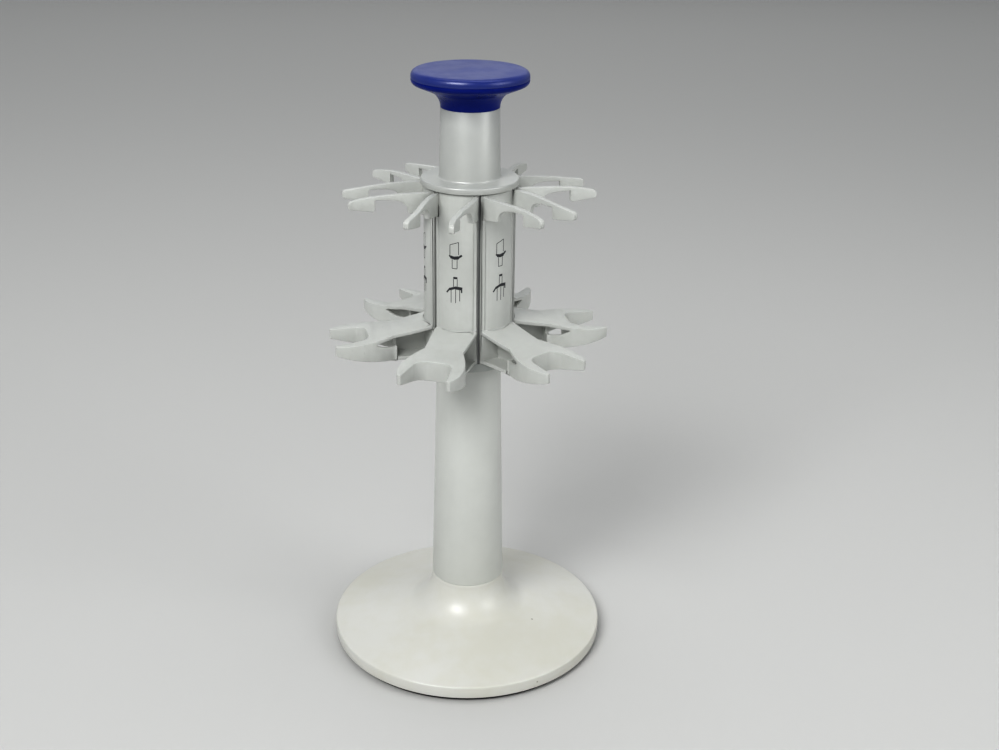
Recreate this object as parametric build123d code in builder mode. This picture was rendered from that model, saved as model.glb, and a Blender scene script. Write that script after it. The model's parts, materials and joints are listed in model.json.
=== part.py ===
"""Pipette carousel stand: a round foot with a fixed column, and six hooked holders that turn on it.

Millimetres, +Z up. The origin is the centre of the foot on the surface that it stands on.
The fixed pieces come first, from the floor up. The turning pieces follow, and they all ride on
one spindle. Each piece is written to parts/ under the name of its node.
"""
import os
from math import cos, radians, sin, sqrt

from build123d import *

# ---- Foot -----------------------------------------------------------------------------------
BASE_RADIUS = 92.5          # widest circle of the foot
BASE_RIM_HEIGHT = 8.3       # upright rim
BASE_EDGE_ROUND = 1.2       # upper edge of the rim
BASE_CONE_RISE = 14.9       # shallow cone between the rim and the neck
BASE_WALL = 3.0             # moulded wall of the foot
NECK_RADIUS = 24.3          # neck of the foot, and the lower end of the column
NECK_RISE = 19.7            # height of the neck above the end of the cone
NECK_SWEEP = 22.0           # hollow curve from the cone into the neck
NECK_CORE_SWEEP = 19.0      # the same curve on the hidden side
NECK_DECK = 4.0             # plate that closes the neck
SPIGOT_HEIGHT = 6.0         # ring on the deck that centres the column
SPIGOT_WALL = 3.0
RIB_COUNT = 6
RIB_THICKNESS = 2.2
FOOT_LIFT = 3.1             # the rubber ring holds the rim this far off the table
FOOT_RING_WIDTH = 8.0
FOOT_RING_INSET = 3.0       # rim edge to rubber ring
FOOT_GROOVE_DEPTH = 1.6
FOOT_GROOVE_WALL = 2.5      # inner wall of the ring's groove

# ---- Ballast and cover plate ----------------------------------------------------------------
PLATE_THICKNESS = 1.8
BALLAST_THICKNESS = 5.7
BALLAST_RIM_GAP = 5.0       # wall of the foot to the ballast
BALLAST_INNER_RADIUS = 34.0
PLATE_SCREW_COUNT = 3
PLATE_BOSS_RADIUS = 4.5

# ---- Column ---------------------------------------------------------------------------------
COLUMN_HEIGHT = 157.4
COLUMN_TOP_RADIUS = 20.9
COLUMN_WALL = 2.2
SEAM_CHAMFER = 0.4          # softened edges where two visible pieces meet
HEAD_FLANGE = 2.0           # plate of the column head that lies on the column
HEAD_PLUG_DEPTH = 10.0
HEAD_INSET = 0.6            # the plate stands back from the column's edge
HEAD_WALL = 2.5
HEAD_BOSS_RADIUS = 9.0

# ---- Spindle and bearings -------------------------------------------------------------------
SPINDLE_RADIUS = 5.0
SPINDLE_END_RADIUS = 4.0    # threaded ends
SHOULDER_RADIUS = 8.0
SHOULDER_HEIGHT = 3.0
THREAD_PAST_NUT = 1.5
NUT_ACROSS_FLATS = 13.0
NUT_HEIGHT = 6.5
NUT_WASHER_RADIUS = 9.0
NUT_WASHER_THICKNESS = 1.6
THRUST_WASHER_RADIUS = 11.0
THRUST_WASHER_THICKNESS = 1.5
BUSH_RADIUS = 6.5
BUSH_LENGTH = 10.0
BUSH_BOSS_RADIUS = 9.5

# ---- Hub ------------------------------------------------------------------------------------
HOLDER_COUNT = 6
FIRST_HOLDER_ANGLE = -47.66     # degrees from +X towards +Y
HUB_HEIGHT = 109.6              # height of the holders' shells
HUB_RADIUS = 29.4               # outside of the holders' shells
SEAM_WIDTH = 1.5                # gap between neighbouring holders
CORE_RADIUS = 22.4
CORE_WALL = 3.0
CORE_DECK = 5.0                 # end plates of the core
KEY_THICKNESS = 1.1             # keys that stand in the seams and turn the holders
KEY_DEPTH = 2.0                 # holder face to key
CORE_BOSS_RADIUS = 3.2
CORE_BOSS_LENGTH = 12.0
COLLAR_RADIUS = 27.6
COLLAR_PLATE = 2.35
COLLAR_SKIRT = 4.15             # depth of the skirt below the plate
COLLAR_WALL = 2.6
COLLAR_EDGE = 0.8
COLLAR_STEP = 0.5               # the holders stand this far above the collar's shoulder
COLLAR_STEP_INSET = 1.4
COLLAR_SCREW_REACH = 15.0
HUB_SCREW_COUNT = 3

# ---- Cap and grip tube ----------------------------------------------------------------------
CAP_RADIUS = 30.65
CAP_RIM_HEIGHT = 3.9
CAP_EDGE_ROUND = 0.9
CAP_SHADOW_GAP = 0.8            # rim above the holders
CAP_SEAT_INSET = 2.4            # rim to the seat on the holders
CAP_HOLE_RADIUS = 10.5          # access to the spindle nut
CAP_SCREW_REACH = 13.2
TUBE_RADIUS = 19.1              # at the flange
TUBE_TOP_RADIUS = 18.3
TUBE_HEIGHT = 43.4
TUBE_WALL = 2.4
TUBE_ROOT_ROUND = 1.4
PLUG_THICKNESS = 5.0
PLUG_BOSS_RADIUS = 5.5
PLUG_BOSS_LENGTH = 14.0

# ---- Knob -----------------------------------------------------------------------------------
KNOB_RADIUS = 36.1
KNOB_NECK_RISE = 7.15           # tube to the start of the flare
KNOB_FLARE_SLOPE = 0.42         # rise of the underside for each millimetre outwards
KNOB_NECK_SWEEP = 10.0
KNOB_RIM_ROUND = 2.7
KNOB_STEM_HEIGHT = 17.4         # tube to the parting line
KNOB_CAP_HEIGHT = 5.5
KNOB_TOP_ROUND = 3.6
KNOB_CROWN = 0.5                # the top is very slightly domed
KNOB_WALL = 2.4
KNOB_FLOOR = 4.0
KNOB_SNAP_DEPTH = 0.9           # ring of the knob cap inside the stem's rim
KNOB_SNAP_WALL = 1.6

# ---- Holder shell ---------------------------------------------------------------------------
SHELL_WALL = 2.4
SHELL_CHEEK = 2.0               # walls along the seams
SHELL_PLATE = 2.4               # top and bottom plates
EDGE_RIB_WIDTH = 3.0            # raised border beside each seam
PANEL_RECESS = 0.5
SHELL_EDGE_ROUND = 0.8

# ---- Holder fork: distances out from the axis, sideways, and heights below the hub's top -----
FORK_REACH = 78.0
FORK_ROOT_HALF = 11.8           # middle of an arm, sideways, where it leaves the hub
FORK_BOW_HALF = 13.6            # widest bow of the arm beside the pipette's neck
FORK_BOW_REACH = 41.0
FORK_WAIST_HALF = 12.2          # nearest to the other arm, where the block starts
FORK_TIP_HALF = 13.9
FORK_THICKNESS = 3.4
FORK_TOP_DROP = 0.6             # arms below the hub's top
FORK_MIDDLE_DROP = 1.0
FORK_MIDDLE_REACH = 54.0
FORK_TIP_DROP = 4.0             # end of the upper edge below the hub's top
FORK_TIP_ROUND = 2.6
FORK_ROOT_DEPTH = 15.2          # root's lower edge below the hub's top
FORK_ARCH_START = 41.5          # end of the root, out from the axis
FORK_ARCH_END = 61.5            # inner face of the block that carries the pipette
FORK_ARCH_FOOT_DEPTH = 12.6     # lower end of the arch below the hub's top
FORK_ARCH_DROP = 4.0            # crown of the arch below the hub's top
FORK_BLOCK_DEPTH = 11.4         # underside of the block
FORK_TIP_DEPTH = 8.8            # underside of the tip
FORK_CORNER_ROUND = 1.6

# ---- Holder bracket: distances out from the axis, sideways, and heights above the hub's foot --
SHELF_ROOT_HEIGHT = 23.2
SHELF_MIDDLE_HEIGHT = 16.8
SHELF_TIP_HEIGHT = 13.7
SHELF_THICKNESS = 2.4
SHELF_ROOT_HALF = 14.0
SHELF_WAIST_HALF = 12.6
WAIST_REACH = 51.0              # narrowest place of the shelf
HORN_BULGE_HALF = 19.9
HORN_BULGE_REACH = 72.0
HORN_REACH = 88.6
HORN_TIP_HALF = 16.6
HORN_TIP_INNER_HALF = 14.4
NOTCH_REACH = 66.4              # inner end of the notch
NOTCH_HALF = 12.3
NOTCH_ROUND = 7.5
SKIRT_WALL = 2.2
POCKET_REACH = 82.0             # end of the hollow inside each horn
POCKET_TIP_HALF = 15.8
SKIRT_START = 49.2              # rear wall of the claw
SKIRT_ROOT_HEIGHT = 0.0
SKIRT_TIP_HEIGHT = 7.3
LEDGE_THICKNESS = 2.4
WEB_THICKNESS = 3.0
HOOK_SLOT_START = 47.0          # slot between the shelf and the skirt, open to the rear
HOOK_SLOT_END = 63.0
HOOK_SLOT_DEPTH = 4.2
HOOK_SLOT_END_DEPTH = 1.6
HOOK_SLOT_LAND = 8.0            # the slot stops this far from the middle

# ---- Fasteners and fits -----------------------------------------------------------------------
SMALL_SCREW_RADIUS = 1.5
SMALL_HEAD_RADIUS = 2.4
SMALL_HEAD_HEIGHT = 1.4
KNOB_SCREW_RADIUS = 2.0
KNOB_SCREW_HEAD_RADIUS = 4.0
KNOB_SCREW_HEAD_HEIGHT = 2.6
SCREW_BITE = 9.0                # thread inside its boss
RUNNING_FIT = 0.04              # spindle to bushes, on the radius
SEAT_FIT = 0.02                 # bushes in the hub, on the radius
LOOSE_FIT = 0.15                # spigots, plugs and shanks, on the radius
THREAD_FIT = 0.05
AXIAL_PLAY = 0.05
SIDE_FIT = 0.2

# ---- Heights that follow ----------------------------------------------------------------------
rim_bottom = FOOT_LIFT
rim_top = rim_bottom + BASE_RIM_HEIGHT
cone_top = rim_top + BASE_CONE_RISE
neck_top = cone_top + NECK_RISE
deck_bottom = neck_top - NECK_DECK
plate_top = rim_bottom + PLATE_THICKNESS
ballast_top = plate_top + BALLAST_THICKNESS
column_top = neck_top + COLUMN_HEIGHT
head_top = column_top + HEAD_FLANGE
shoulder_top = head_top + SHOULDER_HEIGHT
thrust_top = shoulder_top + THRUST_WASHER_THICKNESS
collar_plate_bottom = thrust_top + AXIAL_PLAY
hub_bottom = collar_plate_bottom + COLLAR_PLATE
hub_top = hub_bottom + HUB_HEIGHT
core_top = hub_top - SIDE_FIT
spindle_step = core_top + AXIAL_PLAY
cap_rim_bottom = hub_top + CAP_SHADOW_GAP
cap_flange_top = cap_rim_bottom + CAP_RIM_HEIGHT
tube_top = cap_flange_top + TUBE_HEIGHT
knob_flare_start = tube_top + KNOB_NECK_RISE
knob_parting = tube_top + KNOB_STEM_HEIGHT
knob_top = knob_parting + KNOB_CAP_HEIGHT

# ---- Radii and angles that follow ---------------------------------------------------------------
cone_slope = BASE_CONE_RISE / (BASE_RADIUS - NECK_RADIUS)
cone_wall_drop = BASE_WALL * sqrt(1 + cone_slope**2)
foot_ring_outer = BASE_RADIUS - FOOT_RING_INSET
foot_ring_inner = foot_ring_outer - FOOT_RING_WIDTH
base_core_radius = foot_ring_inner - FOOT_GROOVE_WALL
ballast_outer_radius = base_core_radius - BALLAST_RIM_GAP
plate_screw_reach = (BALLAST_INNER_RADIUS + ballast_outer_radius) / 2
rib_step = 360 / RIB_COUNT
column_taper = (NECK_RADIUS - COLUMN_TOP_RADIUS) / COLUMN_HEIGHT
column_bore_top = COLUMN_TOP_RADIUS - COLUMN_WALL
holder_step = 360 / HOLDER_COUNT
half_step = radians(holder_step / 2)
shell_inner_radius = CORE_RADIUS + SIDE_FIT
bush_bore = SPINDLE_RADIUS + RUNNING_FIT
small_hole = SMALL_SCREW_RADIUS + LOOSE_FIT
small_pilot = SMALL_SCREW_RADIUS + THREAD_FIT

os.makedirs("parts", exist_ok=True)


def cone_height(radius):
    """Height of the foot's conical top at a radius."""
    return rim_top + (BASE_RADIUS - radius) * cone_slope


def corner(profile, radius, height):
    """Pick the corner of an upright profile at a radius and a height."""
    return profile.vertices().sort_by_distance((radius, height))[0]


# ---- foot_ring: rubber ring let into the underside of the foot ----------------------------------
with BuildPart() as foot_ring:
    with BuildSketch():
        Circle(foot_ring_outer)
        Circle(foot_ring_inner, mode=Mode.SUBTRACT)
    extrude(amount=FOOT_LIFT + FOOT_GROOVE_DEPTH)
    chamfer(foot_ring.edges().group_by(Axis.Z)[0], length=SEAM_CHAMFER)
foot_ring.part.label = "foot_ring"
export_step(foot_ring.part, "parts/foot_ring.step")

# ---- base_shell: hollow moulded foot, ribbed inside, with a neck and a spigot -------------------
# The hollow is made first, with the ribs and screw bosses left out of it, and then taken away.
with BuildPart() as base_hollow:
    with BuildSketch(Plane.XZ) as hollow_profile:
        with BuildLine():
            Polyline(
                (0, rim_bottom),
                (base_core_radius, rim_bottom),
                (base_core_radius, cone_height(base_core_radius) - cone_wall_drop),
                (NECK_RADIUS - BASE_WALL, cone_height(NECK_RADIUS - BASE_WALL) - cone_wall_drop),
                (NECK_RADIUS - BASE_WALL, deck_bottom),
                (0, deck_bottom),
                close=True,
            )
        make_face()
        hollow_cone_top = cone_height(NECK_RADIUS - BASE_WALL) - cone_wall_drop
        fillet(corner(hollow_profile, NECK_RADIUS - BASE_WALL, hollow_cone_top), NECK_CORE_SWEEP)
    revolve(axis=Axis.Z)
    with BuildSketch(Plane.XY.offset(ballast_top)):
        with PolarLocations(0, RIB_COUNT):
            Rectangle(base_core_radius, RIB_THICKNESS, align=(Align.MIN, Align.CENTER))
        Circle(BALLAST_INNER_RADIUS - RIB_THICKNESS, mode=Mode.SUBTRACT)
    extrude(amount=neck_top, mode=Mode.SUBTRACT)
    with BuildSketch(Plane.XY.offset(plate_top)):
        with PolarLocations(plate_screw_reach, PLATE_SCREW_COUNT, start_angle=rib_step / 2):
            Circle(PLATE_BOSS_RADIUS)
    extrude(amount=neck_top, mode=Mode.SUBTRACT)

with BuildPart() as base_shell:
    with BuildSketch(Plane.XZ) as base_profile:
        with BuildLine():
            Polyline(
                (0, rim_bottom),
                (BASE_RADIUS, rim_bottom),
                (BASE_RADIUS, rim_top),
                (NECK_RADIUS, cone_top),
                (NECK_RADIUS, neck_top),
                (0, neck_top),
                close=True,
            )
        make_face()
        fillet(corner(base_profile, BASE_RADIUS, rim_top), BASE_EDGE_ROUND)
        fillet(corner(base_profile, NECK_RADIUS, cone_top), NECK_SWEEP)
        chamfer(corner(base_profile, NECK_RADIUS, neck_top), SEAM_CHAMFER)
        chamfer(corner(base_profile, BASE_RADIUS, rim_bottom), SEAM_CHAMFER)
    revolve(axis=Axis.Z)
    add(base_hollow.part, mode=Mode.SUBTRACT)
    with BuildSketch(Plane.XY.offset(neck_top)):
        spigot_radius = NECK_RADIUS - SPIGOT_HEIGHT * column_taper - COLUMN_WALL - LOOSE_FIT
        Circle(spigot_radius)
        Circle(spigot_radius - SPIGOT_WALL, mode=Mode.SUBTRACT)
    extrude(amount=SPIGOT_HEIGHT)
    with BuildSketch(Plane.XY.offset(rim_bottom)):
        Circle(foot_ring_outer + LOOSE_FIT)
        Circle(foot_ring_inner - LOOSE_FIT, mode=Mode.SUBTRACT)
    extrude(amount=FOOT_GROOVE_DEPTH, mode=Mode.SUBTRACT)
    with BuildSketch(Plane.XY.offset(deck_bottom)):
        Circle(SPINDLE_RADIUS + LOOSE_FIT)
    extrude(amount=NECK_DECK, mode=Mode.SUBTRACT)
    with BuildSketch(Plane.XY.offset(plate_top)):
        with PolarLocations(plate_screw_reach, PLATE_SCREW_COUNT, start_angle=rib_step / 2):
            Circle(small_pilot)
    extrude(amount=SCREW_BITE, mode=Mode.SUBTRACT)
base_shell.part.label = "base_shell"
export_step(base_shell.part, "parts/base_shell.step")

# ---- ballast: steel ring held between the ribs and the cover plate ------------------------------
with BuildPart() as ballast:
    with BuildSketch(Plane.XY.offset(plate_top)):
        Circle(ballast_outer_radius)
        Circle(BALLAST_INNER_RADIUS, mode=Mode.SUBTRACT)
        with PolarLocations(plate_screw_reach, PLATE_SCREW_COUNT, start_angle=rib_step / 2):
            Circle(PLATE_BOSS_RADIUS + 2 * LOOSE_FIT, mode=Mode.SUBTRACT)
    extrude(amount=BALLAST_THICKNESS)
ballast.part.label = "ballast"
export_step(ballast.part, "parts/ballast.step")

# ---- cover_plate: closes the foot from below ----------------------------------------------------
with BuildPart() as cover_plate:
    with BuildSketch(Plane.XY.offset(rim_bottom)):
        Circle(base_core_radius - LOOSE_FIT)
        with PolarLocations(plate_screw_reach, PLATE_SCREW_COUNT, start_angle=rib_step / 2):
            Circle(small_hole, mode=Mode.SUBTRACT)
    extrude(amount=PLATE_THICKNESS)
cover_plate.part.label = "cover_plate"
export_step(cover_plate.part, "parts/cover_plate.step")


def small_screw(tip, seat):
    """Make an upright pan-head screw on the Z axis; the head lies on the far side of the seat."""
    head_end = seat + SMALL_HEAD_HEIGHT if seat > tip else seat - SMALL_HEAD_HEIGHT
    with BuildPart() as screw:
        with BuildSketch(Plane.XZ):
            with BuildLine():
                Polyline(
                    (0, tip),
                    (SMALL_SCREW_RADIUS, tip),
                    (SMALL_SCREW_RADIUS, seat),
                    (SMALL_HEAD_RADIUS, seat),
                    (SMALL_HEAD_RADIUS, head_end),
                    (0, head_end),
                    close=True,
                )
            make_face()
        revolve(axis=Axis.Z)
    return screw.part


# ---- plate_screws: three screws, up through the cover plate -------------------------------------
plate_screw = small_screw(tip=plate_top + SCREW_BITE - LOOSE_FIT, seat=rim_bottom)
with BuildPart() as plate_screws:
    with PolarLocations(plate_screw_reach, PLATE_SCREW_COUNT, start_angle=rib_step / 2):
        add(plate_screw)
plate_screws.part.label = "plate_screws"
export_step(plate_screws.part, "parts/plate_screws.step")

# ---- column: tapered tube from the neck to the turning head -------------------------------------
with BuildPart() as column:
    with BuildSketch(Plane.XZ) as column_profile:
        with BuildLine():
            Polyline(
                (NECK_RADIUS - COLUMN_WALL, neck_top),
                (NECK_RADIUS, neck_top),
                (COLUMN_TOP_RADIUS, column_top),
                (column_bore_top, column_top),
                close=True,
            )
        make_face()
        chamfer(corner(column_profile, NECK_RADIUS, neck_top), SEAM_CHAMFER)
        chamfer(corner(column_profile, COLUMN_TOP_RADIUS, column_top), SEAM_CHAMFER)
    revolve(axis=Axis.Z)
column.part.label = "column"
export_step(column.part, "parts/column.step")

# ---- column_head: plug that closes the column and centres the spindle ---------------------------
with BuildPart() as column_head:
    plug_bottom = column_top - HEAD_PLUG_DEPTH
    plug_radius = column_bore_top - LOOSE_FIT
    with BuildSketch(Plane.XZ):
        with BuildLine():
            Polyline(
                (SPINDLE_RADIUS + LOOSE_FIT, plug_bottom),
                (HEAD_BOSS_RADIUS, plug_bottom),
                (HEAD_BOSS_RADIUS, column_top - HEAD_WALL),
                (plug_radius - HEAD_WALL, column_top - HEAD_WALL),
                (plug_radius - HEAD_WALL, plug_bottom),
                (plug_radius, plug_bottom),
                (plug_radius, column_top),
                (COLUMN_TOP_RADIUS - HEAD_INSET, column_top),
                (COLUMN_TOP_RADIUS - HEAD_INSET, head_top),
                (SPINDLE_RADIUS + LOOSE_FIT, head_top),
                close=True,
            )
        make_face()
    revolve(axis=Axis.Z)
column_head.part.label = "column_head"
export_step(column_head.part, "parts/column_head.step")

# ---- spindle: steel rod; its shoulder clamps the column to the foot and carries the hub ----------
lower_nut_bottom = deck_bottom - NUT_WASHER_THICKNESS - NUT_HEIGHT
upper_nut_bottom = spindle_step + NUT_WASHER_THICKNESS
with BuildPart() as spindle:
    with BuildSketch(Plane.XZ):
        with BuildLine():
            Polyline(
                (0, lower_nut_bottom - THREAD_PAST_NUT),
                (SPINDLE_END_RADIUS, lower_nut_bottom - THREAD_PAST_NUT),
                (SPINDLE_END_RADIUS, deck_bottom + LOOSE_FIT),
                (SPINDLE_RADIUS, deck_bottom + LOOSE_FIT),
                (SPINDLE_RADIUS, head_top),
                (SHOULDER_RADIUS, head_top),
                (SHOULDER_RADIUS, shoulder_top),
                (SPINDLE_RADIUS, shoulder_top),
                (SPINDLE_RADIUS, spindle_step),
                (SPINDLE_END_RADIUS, spindle_step),
                (SPINDLE_END_RADIUS, upper_nut_bottom + NUT_HEIGHT + THREAD_PAST_NUT),
                (0, upper_nut_bottom + NUT_HEIGHT + THREAD_PAST_NUT),
                close=True,
            )
        make_face()
    revolve(axis=Axis.Z)
spindle.part.label = "spindle"
export_step(spindle.part, "parts/spindle.step")

# ---- spindle_washers and spindle_nuts: one pair under the neck's deck, one above the hub --------
with BuildPart() as spindle_washers:
    for washer_bottom in (deck_bottom - NUT_WASHER_THICKNESS, spindle_step):
        with BuildSketch(Plane.XY.offset(washer_bottom)):
            Circle(NUT_WASHER_RADIUS)
            Circle(SPINDLE_END_RADIUS + LOOSE_FIT, mode=Mode.SUBTRACT)
        extrude(amount=NUT_WASHER_THICKNESS)
spindle_washers.part.label = "spindle_washers"
export_step(spindle_washers.part, "parts/spindle_washers.step")

with BuildPart() as spindle_nuts:
    for nut_bottom in (lower_nut_bottom, upper_nut_bottom):
        with BuildSketch(Plane.XY.offset(nut_bottom)):
            RegularPolygon(NUT_ACROSS_FLATS / 2, 6, major_radius=False)
            Circle(SPINDLE_END_RADIUS + THREAD_FIT, mode=Mode.SUBTRACT)
        extrude(amount=NUT_HEIGHT)
spindle_nuts.part.label = "spindle_nuts"
export_step(spindle_nuts.part, "parts/spindle_nuts.step")

# ---- thrust_washer: the hub turns on it, above the spindle's shoulder ---------------------------
with BuildPart() as thrust_washer:
    with BuildSketch(Plane.XY.offset(shoulder_top)):
        Circle(THRUST_WASHER_RADIUS)
        Circle(SPINDLE_RADIUS + LOOSE_FIT, mode=Mode.SUBTRACT)
    extrude(amount=THRUST_WASHER_THICKNESS)
thrust_washer.part.label = "thrust_washer"
export_step(thrust_washer.part, "parts/thrust_washer.step")

# ==== Turning pieces ===============================================================================

# ---- lower_bush and upper_bush: plain bushes in the ends of the hub core -------------------------
lower_bush_bottom = collar_plate_bottom
upper_bush_bottom = core_top - BUSH_LENGTH
with BuildPart() as lower_bush:
    with BuildSketch(Plane.XY.offset(lower_bush_bottom)):
        Circle(BUSH_RADIUS)
        Circle(bush_bore, mode=Mode.SUBTRACT)
    extrude(amount=BUSH_LENGTH + COLLAR_PLATE)
lower_bush.part.label = "lower_bush"
export_step(lower_bush.part, "parts/lower_bush.step")

with BuildPart() as upper_bush:
    with BuildSketch(Plane.XY.offset(upper_bush_bottom)):
        Circle(BUSH_RADIUS)
        Circle(bush_bore, mode=Mode.SUBTRACT)
    extrude(amount=BUSH_LENGTH)
upper_bush.part.label = "upper_bush"
export_step(upper_bush.part, "parts/upper_bush.step")

# ---- hub_core: closed tube with a key in each seam between two holders ---------------------------
seam_angle = FIRST_HOLDER_ANGLE - holder_step / 2
with BuildPart() as hub_core:
    with BuildSketch(Plane.XY.offset(hub_bottom)):
        Circle(CORE_RADIUS)
        with PolarLocations(0, HOLDER_COUNT, start_angle=seam_angle):
            Rectangle(HUB_RADIUS - KEY_DEPTH, KEY_THICKNESS, align=(Align.MIN, Align.CENTER))
    extrude(amount=core_top - hub_bottom)
    with BuildSketch(Plane.XY.offset(hub_bottom + CORE_DECK)):
        Circle(CORE_RADIUS - CORE_WALL)
    extrude(amount=core_top - hub_bottom - 2 * CORE_DECK, mode=Mode.SUBTRACT)
    for boss_bottom in (hub_bottom, upper_bush_bottom):
        with BuildSketch(Plane.XY.offset(boss_bottom)):
            Circle(BUSH_BOSS_RADIUS)
        extrude(amount=BUSH_LENGTH)
    with BuildSketch(Plane.XY.offset(hub_bottom)):
        with PolarLocations(COLLAR_SCREW_REACH, HUB_SCREW_COUNT, start_angle=FIRST_HOLDER_ANGLE):
            Circle(CORE_BOSS_RADIUS)
    extrude(amount=CORE_BOSS_LENGTH)
    with BuildSketch(Plane.XY.offset(core_top - CORE_BOSS_LENGTH)):
        with PolarLocations(CAP_SCREW_REACH, HUB_SCREW_COUNT, start_angle=FIRST_HOLDER_ANGLE):
            Circle(CORE_BOSS_RADIUS)
    extrude(amount=CORE_BOSS_LENGTH)
    with BuildSketch(Plane.XY.offset(hub_bottom)):
        Circle(BUSH_RADIUS + SEAT_FIT)
    extrude(amount=core_top - hub_bottom, mode=Mode.SUBTRACT)
    with BuildSketch(Plane.XY.offset(hub_bottom)):
        with PolarLocations(COLLAR_SCREW_REACH, HUB_SCREW_COUNT, start_angle=FIRST_HOLDER_ANGLE):
            Circle(small_pilot)
    extrude(amount=SCREW_BITE, mode=Mode.SUBTRACT)
    with BuildSketch(Plane.XY.offset(core_top - SCREW_BITE)):
        with PolarLocations(CAP_SCREW_REACH, HUB_SCREW_COUNT, start_angle=FIRST_HOLDER_ANGLE):
            Circle(small_pilot)
    extrude(amount=SCREW_BITE, mode=Mode.SUBTRACT)
hub_core.part.label = "hub_core"
export_step(hub_core.part, "parts/hub_core.step")

# ---- hub_collar: plate and skirt under the holders, which stand on its raised step ---------------
with BuildPart() as hub_collar:
    step_radius = COLLAR_RADIUS - COLLAR_STEP_INSET
    skirt_bottom = collar_plate_bottom - COLLAR_SKIRT
    with BuildSketch(Plane.XZ) as collar_profile:
        with BuildLine():
            Polyline(
                (BUSH_RADIUS + LOOSE_FIT, collar_plate_bottom),
                (COLLAR_RADIUS - COLLAR_WALL, collar_plate_bottom),
                (COLLAR_RADIUS - COLLAR_WALL, skirt_bottom),
                (COLLAR_RADIUS, skirt_bottom),
                (COLLAR_RADIUS, hub_bottom - COLLAR_STEP),
                (step_radius, hub_bottom - COLLAR_STEP),
                (step_radius, hub_bottom),
                (BUSH_RADIUS + LOOSE_FIT, hub_bottom),
                close=True,
            )
        make_face()
        chamfer(corner(collar_profile, COLLAR_RADIUS, skirt_bottom), COLLAR_EDGE)
    revolve(axis=Axis.Z)
    with BuildSketch(Plane.XY.offset(collar_plate_bottom)):
        with PolarLocations(COLLAR_SCREW_REACH, HUB_SCREW_COUNT, start_angle=FIRST_HOLDER_ANGLE):
            Circle(small_hole)
    extrude(amount=COLLAR_PLATE, mode=Mode.SUBTRACT)
hub_collar.part.label = "hub_collar"
export_step(hub_collar.part, "parts/hub_collar.step")

# ---- collar_screws: three screws, up through the collar into the core ----------------------------
collar_screw = small_screw(tip=hub_bottom + SCREW_BITE - LOOSE_FIT, seat=collar_plate_bottom)
with BuildPart() as collar_screws:
    with PolarLocations(COLLAR_SCREW_REACH, HUB_SCREW_COUNT, start_angle=FIRST_HOLDER_ANGLE):
        add(collar_screw)
collar_screws.part.label = "collar_screws"
export_step(collar_screws.part, "parts/collar_screws.step")

# ---- holder: one moulded piece, drawn along +X and then set around the hub -----------------------
shell_apex = (SEAM_WIDTH / 2) / sin(half_step)
reach_apex = (SEAM_WIDTH / 2 + SHELL_EDGE_ROUND) / sin(half_step)
cheek_apex = (SEAM_WIDTH / 2 + SHELL_CHEEK) / sin(half_step)
rib_apex = (SEAM_WIDTH / 2 + EDGE_RIB_WIDTH) / sin(half_step)


def shell_sector(outer, inner, apex):
    """Draw the part of a flat ring inside the wedge of one holder, whose point is at apex."""
    far = 2 * outer
    with BuildSketch() as area:
        Circle(outer)
        Circle(inner, mode=Mode.SUBTRACT)
        with BuildLine():
            Polyline(
                (apex, 0),
                (apex + far * cos(half_step), far * sin(half_step)),
                (apex + far * cos(half_step), -far * sin(half_step)),
                close=True,
            )
        make_face(mode=Mode.INTERSECT)
    return area.sketch


shell_area = shell_sector(HUB_RADIUS, shell_inner_radius, shell_apex)
reach_area = shell_sector(2 * HORN_REACH, shell_inner_radius, reach_apex)
hollow_area = shell_sector(HUB_RADIUS - SHELL_WALL, shell_inner_radius, cheek_apex)
panel_area = shell_sector(HUB_RADIUS + SHELL_WALL, HUB_RADIUS - PANEL_RECESS, rib_apex)
with BuildPart() as holder_shell:
    with BuildSketch(Plane.XY.offset(hub_bottom)):
        add(shell_area)
    extrude(amount=HUB_HEIGHT)
    upright_edges = holder_shell.edges().filter_by(Axis.Z)
    outer_edges = upright_edges.sort_by(lambda edge: edge.center().X**2 + edge.center().Y**2)[-2:]
    fillet(outer_edges, SHELL_EDGE_ROUND)
    panel_bottom = hub_bottom + SHELF_ROOT_HEIGHT - SHELF_THICKNESS / 2
    with BuildSketch(Plane.XY.offset(panel_bottom)):
        add(panel_area)
    extrude(amount=HUB_HEIGHT, mode=Mode.SUBTRACT)

# Side view of a fork arm: root, arch, block and rounded tip.
fork_tip_top = hub_top - FORK_TIP_DROP
arch_top = hub_top - FORK_ARCH_DROP
block_bottom = hub_top - FORK_BLOCK_DEPTH
with BuildPart() as fork_side:
    with BuildSketch(Plane.XZ) as fork_profile:
        with BuildLine():
            top_edge = Spline(
                (shell_inner_radius, hub_top - FORK_TOP_DROP),
                (FORK_MIDDLE_REACH, hub_top - FORK_MIDDLE_DROP),
                (FORK_REACH, fork_tip_top),
            )
            block = Polyline(
                top_edge @ 1,
                (FORK_REACH, hub_top - FORK_TIP_DEPTH),
                (FORK_ARCH_END, block_bottom),
                (FORK_ARCH_END, arch_top),
            )
            arch = Spline(
                block @ 1,
                (FORK_ARCH_START, hub_top - FORK_ARCH_FOOT_DEPTH),
                tangents=((-1, 0), (0, -1)),
            )
            Polyline(arch @ 1, (shell_inner_radius, hub_top - FORK_ROOT_DEPTH), top_edge @ 0)
        make_face()
        fillet(corner(fork_profile, FORK_REACH, fork_tip_top), FORK_TIP_ROUND)
        fillet(corner(fork_profile, FORK_REACH, hub_top - FORK_TIP_DEPTH), FORK_CORNER_ROUND)
        fillet(corner(fork_profile, FORK_ARCH_END, block_bottom), FORK_CORNER_ROUND)
    extrude(amount=HORN_BULGE_HALF, both=True)


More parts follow.
